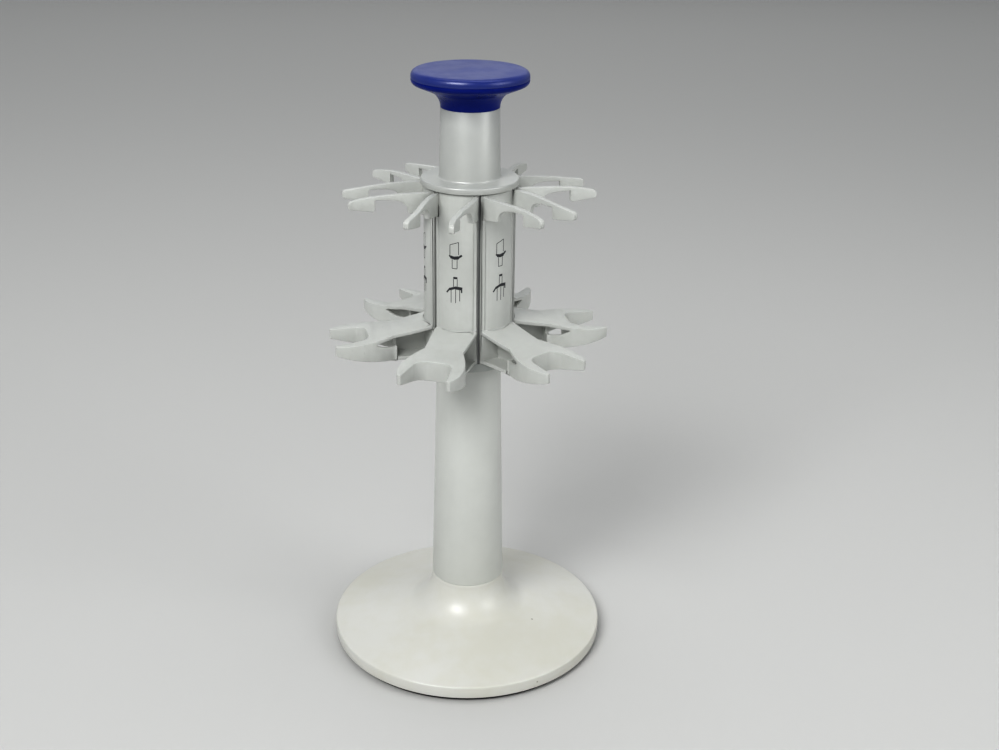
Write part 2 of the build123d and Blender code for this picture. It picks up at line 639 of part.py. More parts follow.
def arm_face(offset):
    """Draw one upright face of an arm in plan, moved sideways by offset."""
    return Spline(
        (shell_inner_radius, FORK_ROOT_HALF + offset),
        (FORK_BOW_REACH, FORK_BOW_HALF + offset),
        (FORK_ARCH_END, FORK_WAIST_HALF + offset),
        (FORK_REACH, FORK_TIP_HALF + offset),
    )


# Plan of the two arms: bowed plates, closest together where the blocks start.
with BuildPart() as holder_fork:
    with BuildSketch(Plane.XY.offset(hub_top - HUB_HEIGHT / 2)):
        with BuildLine():
            inner_face = arm_face(-FORK_THICKNESS / 2)
            outer_face = arm_face(FORK_THICKNESS / 2)
            Line(inner_face @ 0, outer_face @ 0)
            Line(inner_face @ 1, outer_face @ 1)
        make_face()
        mirror(about=Plane.XZ)
    extrude(amount=HUB_HEIGHT)
    add(fork_side.part, mode=Mode.INTERSECT)


# Plan of the bracket: shelf, two horns and the notch between them.
horn_start_reach = (WAIST_REACH + HORN_BULGE_REACH) / 2
horn_start_half = (SHELF_WAIST_HALF + 2 * HORN_BULGE_HALF) / 3
with BuildSketch() as bracket_plan:
    with BuildLine():
        shelf_edge = Line((shell_inner_radius, SHELF_ROOT_HALF), (WAIST_REACH, SHELF_WAIST_HALF))
        horn_edge = Spline(
            shelf_edge @ 1,
            (horn_start_reach, horn_start_half),
            (HORN_BULGE_REACH, HORN_BULGE_HALF),
            (HORN_REACH, HORN_TIP_HALF),
        )
        notch_side = Polyline(
            horn_edge @ 1,
            (HORN_REACH, HORN_TIP_INNER_HALF),
            (NOTCH_REACH + NOTCH_ROUND, NOTCH_HALF),
        )
        notch_corner = RadiusArc(notch_side @ 1, (NOTCH_REACH, NOTCH_HALF - NOTCH_ROUND), -NOTCH_ROUND)
        Polyline(
            notch_corner @ 1,
            (NOTCH_REACH, 0),
            (shell_inner_radius, 0),
            shelf_edge @ 0,
        )
    make_face()
    mirror(about=Plane.XZ)

# Plan of the pocket inside the claw, which leaves its walls standing all round.
with BuildSketch() as pocket_plan:
    with BuildLine():
        pocket_edge = Spline(
            (SKIRT_START + SKIRT_WALL, SHELF_WAIST_HALF - SKIRT_WALL),
            (horn_start_reach, horn_start_half - SKIRT_WALL),
            (HORN_BULGE_REACH, HORN_BULGE_HALF - SKIRT_WALL),
            (POCKET_REACH, POCKET_TIP_HALF),
        )
        pocket_notch = Line(pocket_edge @ 1, (NOTCH_REACH + NOTCH_ROUND, NOTCH_HALF + SKIRT_WALL))
        pocket_corner = RadiusArc(
            pocket_notch @ 1,
            (NOTCH_REACH - SKIRT_WALL, NOTCH_HALF - NOTCH_ROUND),
            -(NOTCH_ROUND + SKIRT_WALL),
        )
        Polyline(
            pocket_corner @ 1,
            (NOTCH_REACH - SKIRT_WALL, 0),
            (SKIRT_START + SKIRT_WALL, 0),
            pocket_edge @ 0,
        )
    make_face()
    mirror(about=Plane.XZ)

# Plan of the claw's wall, from its rear wall outwards, and of the web behind it.
with BuildSketch() as skirt_plan:
    add(bracket_plan.sketch)
    with Locations((SKIRT_START, 0)):
        Rectangle(HORN_REACH, 2 * HORN_REACH, align=(Align.MIN, Align.CENTER), mode=Mode.INTERSECT)
    add(pocket_plan.sketch, mode=Mode.SUBTRACT)
    with Locations((shell_inner_radius, 0)):
        Rectangle(
            SKIRT_START + SKIRT_WALL / 2 - shell_inner_radius,
            WEB_THICKNESS,
            align=(Align.MIN, Align.CENTER),
        )

shelf_root = hub_bottom + SHELF_ROOT_HEIGHT
shelf_middle = hub_bottom + SHELF_MIDDLE_HEIGHT
shelf_tip = hub_bottom + SHELF_TIP_HEIGHT
skirt_root = hub_bottom + SKIRT_ROOT_HEIGHT
skirt_tip = hub_bottom + SKIRT_TIP_HEIGHT
bracket_middle = (shell_inner_radius + HORN_REACH) / 2


def shelf_line(drop):
    """Draw the hollow slope of the shelf, lowered by drop, out to the tips."""
    return Spline(
        (shell_inner_radius, shelf_root - drop),
        (bracket_middle, shelf_middle - drop),
        (HORN_REACH, shelf_tip - drop),
    )


# Shelf: the outline cut to a thin sloping plate.
with BuildPart() as shelf:
    with BuildSketch(Plane.XY.offset(hub_bottom)):
        add(bracket_plan.sketch)
    extrude(amount=HUB_HEIGHT / 2)
    with BuildSketch(Plane.XZ):
        with BuildLine():
            upper = shelf_line(0)
            lower = shelf_line(SHELF_THICKNESS)
            Line(upper @ 0, lower @ 0)
            Line(upper @ 1, lower @ 1)
        make_face()
    extrude(amount=HORN_BULGE_HALF + SKIRT_WALL, both=True, mode=Mode.INTERSECT)

# Skirt and web: upright walls between the shelf and the bracket's lower edge. A hooked slot
# parts the skirt from the shelf on each side.
with BuildPart() as skirt:
    with BuildSketch(Plane.XY.offset(hub_bottom)):
        add(skirt_plan.sketch)
    extrude(amount=HUB_HEIGHT / 2)
    with BuildSketch(Plane.XZ):
        with BuildLine():
            shelf_under = shelf_line(SHELF_THICKNESS / 2)
            skirt_edge = Spline(
                (SKIRT_START, skirt_root),
                (HORN_BULGE_REACH, (skirt_root + skirt_tip) / 2),
                (HORN_REACH, skirt_tip),
            )
            Polyline(skirt_edge @ 0, (shell_inner_radius, skirt_root), shelf_under @ 0)
            Line(skirt_edge @ 1, shelf_under @ 1)
        make_face()
    extrude(amount=HORN_BULGE_HALF + SKIRT_WALL, both=True, mode=Mode.INTERSECT)
    with BuildSketch(Plane.XZ.offset(HOOK_SLOT_LAND)):
        with BuildLine():
            slot_top = shelf_middle - SHELF_THICKNESS
            slot_edge = Spline(
                (HOOK_SLOT_START, slot_top - HOOK_SLOT_DEPTH),
                ((HOOK_SLOT_START + 2 * HOOK_SLOT_END) / 3, slot_top - HOOK_SLOT_DEPTH),
                (HOOK_SLOT_END, slot_top - HOOK_SLOT_END_DEPTH),
            )
            Polyline(
                slot_edge @ 1,
                (HOOK_SLOT_END, shelf_root),
                (HOOK_SLOT_START, shelf_root),
                slot_edge @ 0,
            )
        make_face()
    slot_cut = extrude(amount=HORN_BULGE_HALF, mode=Mode.SUBTRACT)
    mirror(slot_cut, about=Plane.XZ, mode=Mode.SUBTRACT)

# Bracket: shelf, skirt and web, with the ledge along the hub's foot.
with BuildPart() as holder_bracket:
    add(shelf.part)
    add(skirt.part)
    with BuildSketch(Plane.XY.offset(hub_bottom)):
        with BuildLine():
            Polyline(
                (shell_inner_radius, SHELF_ROOT_HALF - LEDGE_THICKNESS / 2),
                (SKIRT_START + SKIRT_WALL / 2, SHELF_WAIST_HALF),
                (SKIRT_START + SKIRT_WALL / 2, 0),
                (shell_inner_radius, 0),
                close=True,
            )
        make_face()
        mirror(about=Plane.XZ)
    extrude(amount=LEDGE_THICKNESS)

# Holder: the arms and the bracket end at the seams, and the shell is hollow behind its face.
with BuildPart() as holder:
    add(holder_fork.part)
    add(holder_bracket.part)
    with BuildSketch(Plane.XY.offset(hub_bottom)):
        add(reach_area)
    extrude(amount=HUB_HEIGHT, mode=Mode.INTERSECT)
    add(holder_shell.part)
    with BuildSketch(Plane.XY.offset(hub_bottom + SHELL_PLATE)):
        add(hollow_area)
    extrude(amount=HUB_HEIGHT - 2 * SHELL_PLATE, mode=Mode.SUBTRACT)

for number in range(HOLDER_COUNT):
    with BuildPart() as placed_holder:
        add(holder.part.rotate(Axis.Z, FIRST_HOLDER_ANGLE + number * holder_step))
    placed_holder.part.label = f"holder_{number + 1}"
    export_step(placed_holder.part, f"parts/holder_{number + 1}.step")

# ---- grip_tube: flange that lies on the holders, and the tube up to the knob ----------------------
tube_bore_top = TUBE_TOP_RADIUS - TUBE_WALL
with BuildPart() as grip_tube:
    seat_radius = CAP_RADIUS - CAP_SEAT_INSET
    with BuildSketch(Plane.XZ) as tube_profile:
        with BuildLine():
            Polyline(
                (CAP_HOLE_RADIUS, hub_top),
                (seat_radius, hub_top),
                (seat_radius, cap_rim_bottom),
                (CAP_RADIUS, cap_rim_bottom),
                (CAP_RADIUS, cap_flange_top),
                (TUBE_RADIUS, cap_flange_top),
                (TUBE_TOP_RADIUS, tube_top),
                (tube_bore_top, tube_top),
                (TUBE_RADIUS - TUBE_WALL, cap_flange_top),
                (CAP_HOLE_RADIUS, cap_flange_top),
                close=True,
            )
        make_face()
        flange_edge = corner(tube_profile, CAP_RADIUS, cap_flange_top)
        fillet(flange_edge, CAP_EDGE_ROUND)
        tube_root = corner(tube_profile, TUBE_RADIUS, cap_flange_top)
        fillet(tube_root, TUBE_ROOT_ROUND)
        tube_rim = corner(tube_profile, TUBE_TOP_RADIUS, tube_top)
        chamfer(tube_rim, SEAM_CHAMFER)
    revolve(axis=Axis.Z)
    with BuildSketch(Plane.XY.offset(hub_top)):
        with PolarLocations(CAP_SCREW_REACH, HUB_SCREW_COUNT, start_angle=FIRST_HOLDER_ANGLE):
            Circle(small_hole)
    extrude(amount=cap_flange_top - hub_top, mode=Mode.SUBTRACT)
grip_tube.part.label = "grip_tube"
export_step(grip_tube.part, "parts/grip_tube.step")

# ---- cap_screws: three screws, down through the flange into the core ------------------------------
cap_screw = small_screw(tip=core_top - SCREW_BITE + LOOSE_FIT, seat=cap_flange_top)
with BuildPart() as cap_screws:
    with PolarLocations(CAP_SCREW_REACH, HUB_SCREW_COUNT, start_angle=FIRST_HOLDER_ANGLE):
        add(cap_screw)
cap_screws.part.label = "cap_screws"
export_step(cap_screws.part, "parts/cap_screws.step")

# ---- tube_plug: plug with a screw boss, glued into the top of the tube ----------------------------
plug_boss_bottom = tube_top - PLUG_THICKNESS - PLUG_BOSS_LENGTH
with BuildPart() as tube_plug:
    with BuildSketch(Plane.XY.offset(tube_top - PLUG_THICKNESS)):
        Circle(tube_bore_top - LOOSE_FIT)
    extrude(amount=PLUG_THICKNESS)
    with BuildSketch(Plane.XY.offset(plug_boss_bottom)):
        Circle(PLUG_BOSS_RADIUS)
    extrude(amount=PLUG_BOSS_LENGTH)
    with BuildSketch(Plane.XY.offset(plug_boss_bottom)):
        Circle(KNOB_SCREW_RADIUS + THREAD_FIT)
    extrude(amount=PLUG_BOSS_LENGTH + PLUG_THICKNESS, mode=Mode.SUBTRACT)
tube_plug.part.label = "tube_plug"
export_step(tube_plug.part, "parts/tube_plug.step")

# ---- knob_stem: flared lower half of the knob, open at the top ------------------------------------
knob_floor_top = tube_top + KNOB_FLOOR
flare_end = knob_flare_start + (KNOB_RADIUS - TUBE_TOP_RADIUS) * KNOB_FLARE_SLOPE
flare_wall_rise = KNOB_WALL * sqrt(1 + KNOB_FLARE_SLOPE**2)
with BuildPart() as knob_stem:
    with BuildSketch(Plane.XZ) as stem_profile:
        with BuildLine():
            Polyline(
                (0, tube_top),
                (TUBE_TOP_RADIUS, tube_top),
                (TUBE_TOP_RADIUS, knob_flare_start),
                (KNOB_RADIUS, flare_end),
                (KNOB_RADIUS, knob_parting),
                (0, knob_parting),
                close=True,
            )
        make_face()
        neck_corner = corner(stem_profile, TUBE_TOP_RADIUS, knob_flare_start)
        fillet(neck_corner, KNOB_NECK_SWEEP)
        rim_corner = corner(stem_profile, KNOB_RADIUS, flare_end)
        fillet(rim_corner, KNOB_RIM_ROUND)
        chamfer(corner(stem_profile, KNOB_RADIUS, knob_parting), SEAM_CHAMFER / 2)
    revolve(axis=Axis.Z)
    with BuildSketch(Plane.XZ):
        with BuildLine():
            Polyline(
                (0, knob_floor_top),
                (TUBE_TOP_RADIUS - KNOB_WALL, knob_floor_top),
                (TUBE_TOP_RADIUS - KNOB_WALL, knob_flare_start + flare_wall_rise),
                (KNOB_RADIUS - KNOB_WALL, flare_end + flare_wall_rise - KNOB_WALL * KNOB_FLARE_SLOPE),
                (KNOB_RADIUS - KNOB_WALL, knob_parting),
                (0, knob_parting),
                close=True,
            )
        make_face()
    revolve(axis=Axis.Z, mode=Mode.SUBTRACT)
    with BuildSketch(Plane.XY.offset(tube_top)):
        Circle(KNOB_SCREW_RADIUS + LOOSE_FIT)
    extrude(amount=KNOB_FLOOR, mode=Mode.SUBTRACT)
knob_stem.part.label = "knob_stem"
export_step(knob_stem.part, "parts/knob_stem.step")

# ---- knob_screw: fastens the stem to the plug; the knob cap covers its head -----------------------
with BuildPart() as knob_screw:
    with BuildSketch(Plane.XY.offset(plug_boss_bottom)):
        Circle(KNOB_SCREW_RADIUS)
    extrude(amount=knob_floor_top - plug_boss_bottom)
    with BuildSketch(Plane.XY.offset(knob_floor_top)):
        Circle(KNOB_SCREW_HEAD_RADIUS)
    extrude(amount=KNOB_SCREW_HEAD_HEIGHT)
knob_screw.part.label = "knob_screw"
export_step(knob_screw.part, "parts/knob_screw.step")

# ---- knob_cap: slightly domed shell that snaps onto the stem --------------------------------------
with BuildPart() as knob_cap:
    with BuildSketch(Plane.XZ) as cap_profile:
        with BuildLine():
            crown = Spline(
                (0, knob_top),
                (KNOB_RADIUS, knob_top - KNOB_CROWN),
                tangents=((1, 0), (1, -KNOB_CROWN / KNOB_RADIUS * 2)),
            )
            Polyline(crown @ 1, (KNOB_RADIUS, knob_parting), (0, knob_parting), (0, knob_top))
        make_face()
        crown_edge = corner(cap_profile, KNOB_RADIUS, knob_top - KNOB_CROWN)
        fillet(crown_edge, KNOB_TOP_ROUND)
        chamfer(corner(cap_profile, KNOB_RADIUS, knob_parting), SEAM_CHAMFER / 2)
    revolve(axis=Axis.Z)
    with BuildSketch(Plane.XY.offset(knob_parting)):
        Circle(KNOB_RADIUS - KNOB_WALL)
    extrude(amount=KNOB_CAP_HEIGHT - KNOB_CROWN - KNOB_WALL, mode=Mode.SUBTRACT)
    with BuildSketch(Plane.XY.offset(knob_parting - KNOB_SNAP_DEPTH)):
        Circle(KNOB_RADIUS - KNOB_WALL - LOOSE_FIT)
        Circle(KNOB_RADIUS - KNOB_WALL - LOOSE_FIT - KNOB_SNAP_WALL, mode=Mode.SUBTRACT)
    extrude(amount=KNOB_CAP_HEIGHT - KNOB_CROWN - KNOB_WALL + KNOB_SNAP_DEPTH)
knob_cap.part.label = "knob_cap"
export_step(knob_cap.part, "parts/knob_cap.step")
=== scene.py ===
"""Looks of a pipette carousel stand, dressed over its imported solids.

Sizes are in millimetres and are turned into metres where a mesh is made. The upright axis of the
stand is Z. Round pieces are turned from closed wall profiles, and the six holders are softened
copies of their solids. The other pieces keep their solids and get a finish only.
"""
from __future__ import annotations

import json
import logging
import math
from dataclasses import dataclass, field
from enum import Enum
from typing import ClassVar

import bmesh
import bpy
from mathutils import Matrix, Vector

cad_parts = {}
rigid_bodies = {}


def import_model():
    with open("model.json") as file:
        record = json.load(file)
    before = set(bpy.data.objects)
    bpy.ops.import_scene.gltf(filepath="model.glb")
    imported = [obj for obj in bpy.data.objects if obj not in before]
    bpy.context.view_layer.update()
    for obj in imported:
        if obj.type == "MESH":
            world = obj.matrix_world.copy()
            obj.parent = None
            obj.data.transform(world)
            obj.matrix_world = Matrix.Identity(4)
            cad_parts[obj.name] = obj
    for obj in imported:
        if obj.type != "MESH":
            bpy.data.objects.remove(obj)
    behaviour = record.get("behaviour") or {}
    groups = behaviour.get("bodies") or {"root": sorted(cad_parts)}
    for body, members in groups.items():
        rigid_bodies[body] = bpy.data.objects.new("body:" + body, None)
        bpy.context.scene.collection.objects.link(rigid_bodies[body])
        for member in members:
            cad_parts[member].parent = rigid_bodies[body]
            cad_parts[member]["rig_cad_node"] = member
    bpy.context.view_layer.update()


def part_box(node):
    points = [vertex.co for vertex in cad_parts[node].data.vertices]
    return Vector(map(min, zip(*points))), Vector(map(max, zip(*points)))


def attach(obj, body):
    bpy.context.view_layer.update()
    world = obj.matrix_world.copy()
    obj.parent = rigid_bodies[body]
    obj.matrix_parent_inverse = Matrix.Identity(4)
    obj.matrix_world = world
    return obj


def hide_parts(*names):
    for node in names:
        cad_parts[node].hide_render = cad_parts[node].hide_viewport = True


MM = 0.001
WELD = 2e-6  # metres: corners that are nearer than this are one
IMAGE_WIDTH = 999
MIX_FIRST, MIX_SECOND, MIX_RESULT = 6, 7, 2  # colour sockets of a Mix node
Point = tuple[float, float]
Colour = tuple[float, float, float]

log = logging.getLogger("stand")


class Body(Enum):
    """The two bodies of the stand."""

    STAND = "stand"
    CAROUSEL = "carousel"


class Socket(Enum):
    """Kinds of socket that the shared effects use."""

    NUMBER = "NodeSocketFloat"
    COLOUR = "NodeSocketColor"
    VECTOR = "NodeSocketVector"


# ---- Shared effects --------------------------------------------------------------------------


class EffectGroup:
    """A shader node group with named inputs and outputs, built once and used by many finishes."""

    def __init__(self, name: str) -> None:
        """Start an empty group.

        Args:
            name: name of the group in the file.
        """
        self.tree = bpy.data.node_groups.new(name, "ShaderNodeTree")
        self.source = self.tree.nodes.new("NodeGroupInput")
        self.sink = self.tree.nodes.new("NodeGroupOutput")

    def give(self, name: str, kind: Socket, value: float | tuple | None = None) -> None:
        """Add a named input.

        Args:
            name: label of the input.
            kind: what the input carries.
            value: what it holds when nothing is set.
        """
        socket = self.tree.interface.new_socket(name=name, in_out="INPUT", socket_type=kind.value)
        if value is not None:
            socket.default_value = value

    def take(self, name: str, kind: Socket) -> None:
        """Add a named output.

        Args:
            name: label of the output.
            kind: what the output carries.
        """
        self.tree.interface.new_socket(name=name, in_out="OUTPUT", socket_type=kind.value)

    def node(self, kind: str, **settings: object) -> bpy.types.Node:
        """Add a node.

        Args:
            kind: the node's type.
            settings: properties of the node.

        Returns:
            The new node.
        """
        made = self.tree.nodes.new(kind)
        for key, value in settings.items():
            setattr(made, key, value)
        return made

    def join(self, start: bpy.types.NodeSocket, end: bpy.types.NodeSocket) -> None:
        """Link two sockets."""
        self.tree.links.new(start, end)

    def noise(self, scale: bpy.types.NodeSocket | float, detail: float) -> bpy.types.NodeSocket:
        """Add noise on the place input.

        Args:
            scale: size of the noise, as a socket of the group or a number.
            detail: number of finer layers.

        Returns:
            The noise value, from 0 to 1.
        """
        noise = self.node("ShaderNodeTexNoise")
        noise.inputs["Detail"].default_value = detail
        if isinstance(scale, bpy.types.NodeSocket):
            self.join(scale, noise.inputs["Scale"])
        else:
            noise.inputs["Scale"].default_value = scale
        self.join(self.source.outputs["Place"], noise.inputs["Vector"])
        return noise.outputs["Fac"]

    def ramp(
        self,
        value: bpy.types.NodeSocket,
        low: float,
        high: float,
        out_low: float = 0.0,
        out_high: float = 1.0,
    ) -> bpy.types.NodeSocket:
        """Map a value smoothly from one range to another.

        Args:
            value: the value to map.
            low: start of the range that is read.
            high: end of the range that is read.
            out_low: result at the start.
            out_high: result at the end.

        Returns:
            The mapped value.
        """
        mapper = self.node("ShaderNodeMapRange", interpolation_type="SMOOTHSTEP")
        self.join(value, mapper.inputs["Value"])
        for label, limit in (
            ("From Min", low),
            ("From Max", high),
            ("To Min", out_low),
            ("To Max", out_high),
        ):
            mapper.inputs[label].default_value = limit
        return mapper.outputs["Result"]

    def combine(
        self, kind: str, first: bpy.types.NodeSocket, second: bpy.types.NodeSocket | float
    ) -> bpy.types.NodeSocket:
        """Combine two numbers.

        Args:
            kind: the operation, such as ADD or MULTIPLY.
            first: the first number.
            second: the second, as a socket or a number.

        Returns:
            The result.
        """
        math_node = self.node("ShaderNodeMath", operation=kind)
        self.join(first, math_node.inputs[0])
        if isinstance(second, bpy.types.NodeSocket):
            self.join(second, math_node.inputs[1])
        else:
            math_node.inputs[1].default_value = second
        return math_node.outputs["Value"]

    def tint(
        self, share: bpy.types.NodeSocket, first: bpy.types.NodeSocket, second: bpy.types.NodeSocket
    ) -> bpy.types.NodeSocket:
        """Mix two colours.

        Args:
            share: 0 for the first colour, 1 for the second.
            first: the first colour.
            second: the second colour.

        Returns:
            The mixed colour.
        """
        mix = self.node("ShaderNodeMix", data_type="RGBA")
        self.join(share, mix.inputs["Factor"])
        self.join(first, mix.inputs[MIX_FIRST])
        self.join(second, mix.inputs[MIX_SECOND])
        return mix.outputs[MIX_RESULT]


class Effects:
    """The effects that the stand's finishes share.

    A range holds the noise values at which an effect starts and is full.
    """

    CLOUD_FINENESS = 9.0
    BROAD_SHARE, FINE_SHARE = 0.7, 0.3
    CLOUD_RANGE = (0.36, 0.66)
    PATCH_SCALE = 60.0
    PATCH_RANGE = (0.35, 0.65)
    SPECK_FIELD_SCALE = 31.0
    SPECK_FIELD_RANGE = (0.56, 0.74)
    SPECK_STRENGTH = 0.55
    STREAK_STRETCH = (1.0, 0.12, 0.5)
    STREAK_TURN = (0.4, 0.2, 0.7)
    STREAK_FINENESS = 12.0
    STREAK_RANGE = (0.66, 0.74)
    SCUFFED_RANGE = (0.5, 0.62)

    def __init__(self) -> None:
        """Build each group once."""
        self.tone = self.build_tone()
        self.skin = self.build_skin()
        self.specks = self.build_specks()
        self.rubbing = self.build_rubbing()

    def build_tone(self) -> bpy.types.ShaderNodeTree:
        """Build the slow drift of a moulding's colour, with a finer cloudiness in it.

        Returns:
            A group from Place, Colour, Deep Colour, Amount and Scale to Colour.
        """
        group = EffectGroup("moulding_tone")
        group.give("Place", Socket.VECTOR)
        group.give("Colour", Socket.COLOUR, (0.6, 0.6, 0.6, 1))
        group.give("Deep Colour", Socket.COLOUR, (0.5, 0.5, 0.5, 1))
        group.give("Amount", Socket.NUMBER, 0.3)
        group.give("Scale", Socket.NUMBER, 20.0)
        group.take("Colour", Socket.COLOUR)
        given = group.source.outputs
        broad = group.noise(given["Scale"], detail=2.0)
        fineness = group.combine("MULTIPLY", given["Scale"], self.CLOUD_FINENESS)
        fine = group.noise(fineness, detail=4.0)
        blend = group.combine(
            "ADD",
            group.combine("MULTIPLY", broad, self.BROAD_SHARE),
            group.combine("MULTIPLY", fine, self.FINE_SHARE),
        )
        share = group.combine("MULTIPLY", group.ramp(blend, *self.CLOUD_RANGE), given["Amount"])
        colour = group.tint(share, given["Colour"], given["Deep Colour"])
        group.join(colour, group.sink.inputs["Colour"])
        return group.tree

    def build_skin(self) -> bpy.types.ShaderNodeTree:
        """Build the fine spark texture of a mould, with slow waviness under it.

        Returns:
            A group from Place, Grain, Wave, Wave Share, Roughness and Spread to Height and
            Roughness.
        """
        group = EffectGroup("moulding_skin")
        group.give("Place", Socket.VECTOR)
        group.give("Grain", Socket.NUMBER, 2500.0)
        group.give("Wave", Socket.NUMBER, 18.0)
        group.give("Wave Share", Socket.NUMBER, 0.5)
        group.give("Roughness", Socket.NUMBER, 0.4)
        group.give("Spread", Socket.NUMBER, 0.08)
        group.take("Height", Socket.NUMBER)
        group.take("Roughness", Socket.NUMBER)
        given = group.source.outputs
        grain = group.noise(given["Grain"], detail=2.0)
        wave = group.combine("MULTIPLY", group.noise(given["Wave"], detail=1.0), given["Wave Share"])
        group.join(group.combine("ADD", grain, wave), group.sink.inputs["Height"])
        patches = group.ramp(
            group.noise(self.PATCH_SCALE, detail=5.0), *self.PATCH_RANGE, out_low=-1.0, out_high=1.0
        )
        change = group.combine("MULTIPLY", patches, given["Spread"])
        roughness = group.combine("ADD", change, given["Roughness"])
        group.join(roughness, group.sink.inputs["Roughness"])
        return group.tree

    def build_specks(self) -> bpy.types.ShaderNodeTree:
        """Build the sparse dust and dirt specks that have settled on a pale surface.

        Returns:
            A group from Place, Colour, Dirt, Scale and Size to Colour.
        """
        group = EffectGroup("settled_specks")
        group.give("Place", Socket.VECTOR)
        group.give("Colour", Socket.COLOUR, (0.6, 0.6, 0.6, 1))
        group.give("Dirt", Socket.COLOUR, (0.16, 0.14, 0.11, 1))
        group.give("Scale", Socket.NUMBER, 70.0)
        group.give("Size", Socket.NUMBER, 0.06)
        group.take("Colour", Socket.COLOUR)
        given = group.source.outputs
        cells = group.node("ShaderNodeTexVoronoi")
        group.join(given["Place"], cells.inputs["Vector"])
        group.join(given["Scale"], cells.inputs["Scale"])
        where = group.ramp(group.noise(self.SPECK_FIELD_SCALE, detail=2.0), *self.SPECK_FIELD_RANGE)
        reach = group.combine("MULTIPLY", given["Size"], where)
        near = group.combine("LESS_THAN", cells.outputs["Distance"], reach)
        faint = group.combine("MULTIPLY", near, self.SPECK_STRENGTH)
        group.join(group.tint(faint, given["Colour"], given["Dirt"]), group.sink.inputs["Colour"])
        return group.tree

    def build_rubbing(self) -> bpy.types.ShaderNodeTree:
        """Build the hairline scuffs of years of handling, as long thin streaks.

        Returns:
            A group from Place, Scale and Strength to Mask.
        """
        group = EffectGroup("handling_scuffs")
        group.give("Place", Socket.VECTOR)
        group.give("Scale", Socket.NUMBER, 55.0)
        group.give("Strength", Socket.NUMBER, 0.5)
        group.take("Mask", Socket.NUMBER)
        given = group.source.outputs
        stretch = group.node("ShaderNodeMapping")
        stretch.inputs["Scale"].default_value = self.STREAK_STRETCH
        stretch.inputs["Rotation"].default_value = self.STREAK_TURN
        group.join(given["Place"], stretch.inputs["Vector"])
        streaks = group.node("ShaderNodeTexNoise")
        streaks.inputs["Detail"].default_value = 6.0
        group.join(stretch.outputs["Vector"], streaks.inputs["Vector"])
        fineness = group.combine("MULTIPLY", given["Scale"], self.STREAK_FINENESS)
        group.join(fineness, streaks.inputs["Scale"])
        lines = group.ramp(streaks.outputs["Fac"], *self.STREAK_RANGE)
        where = group.ramp(group.noise(given["Scale"], detail=2.0), *self.SCUFFED_RANGE)
        scuffs = group.combine("MULTIPLY", lines, where)
        mask = group.combine("MULTIPLY", scuffs, given["Strength"])
        group.join(mask, group.sink.inputs["Mask"])
        return group.tree


# ---- Finishes ----------------------------------------------------------------------------------


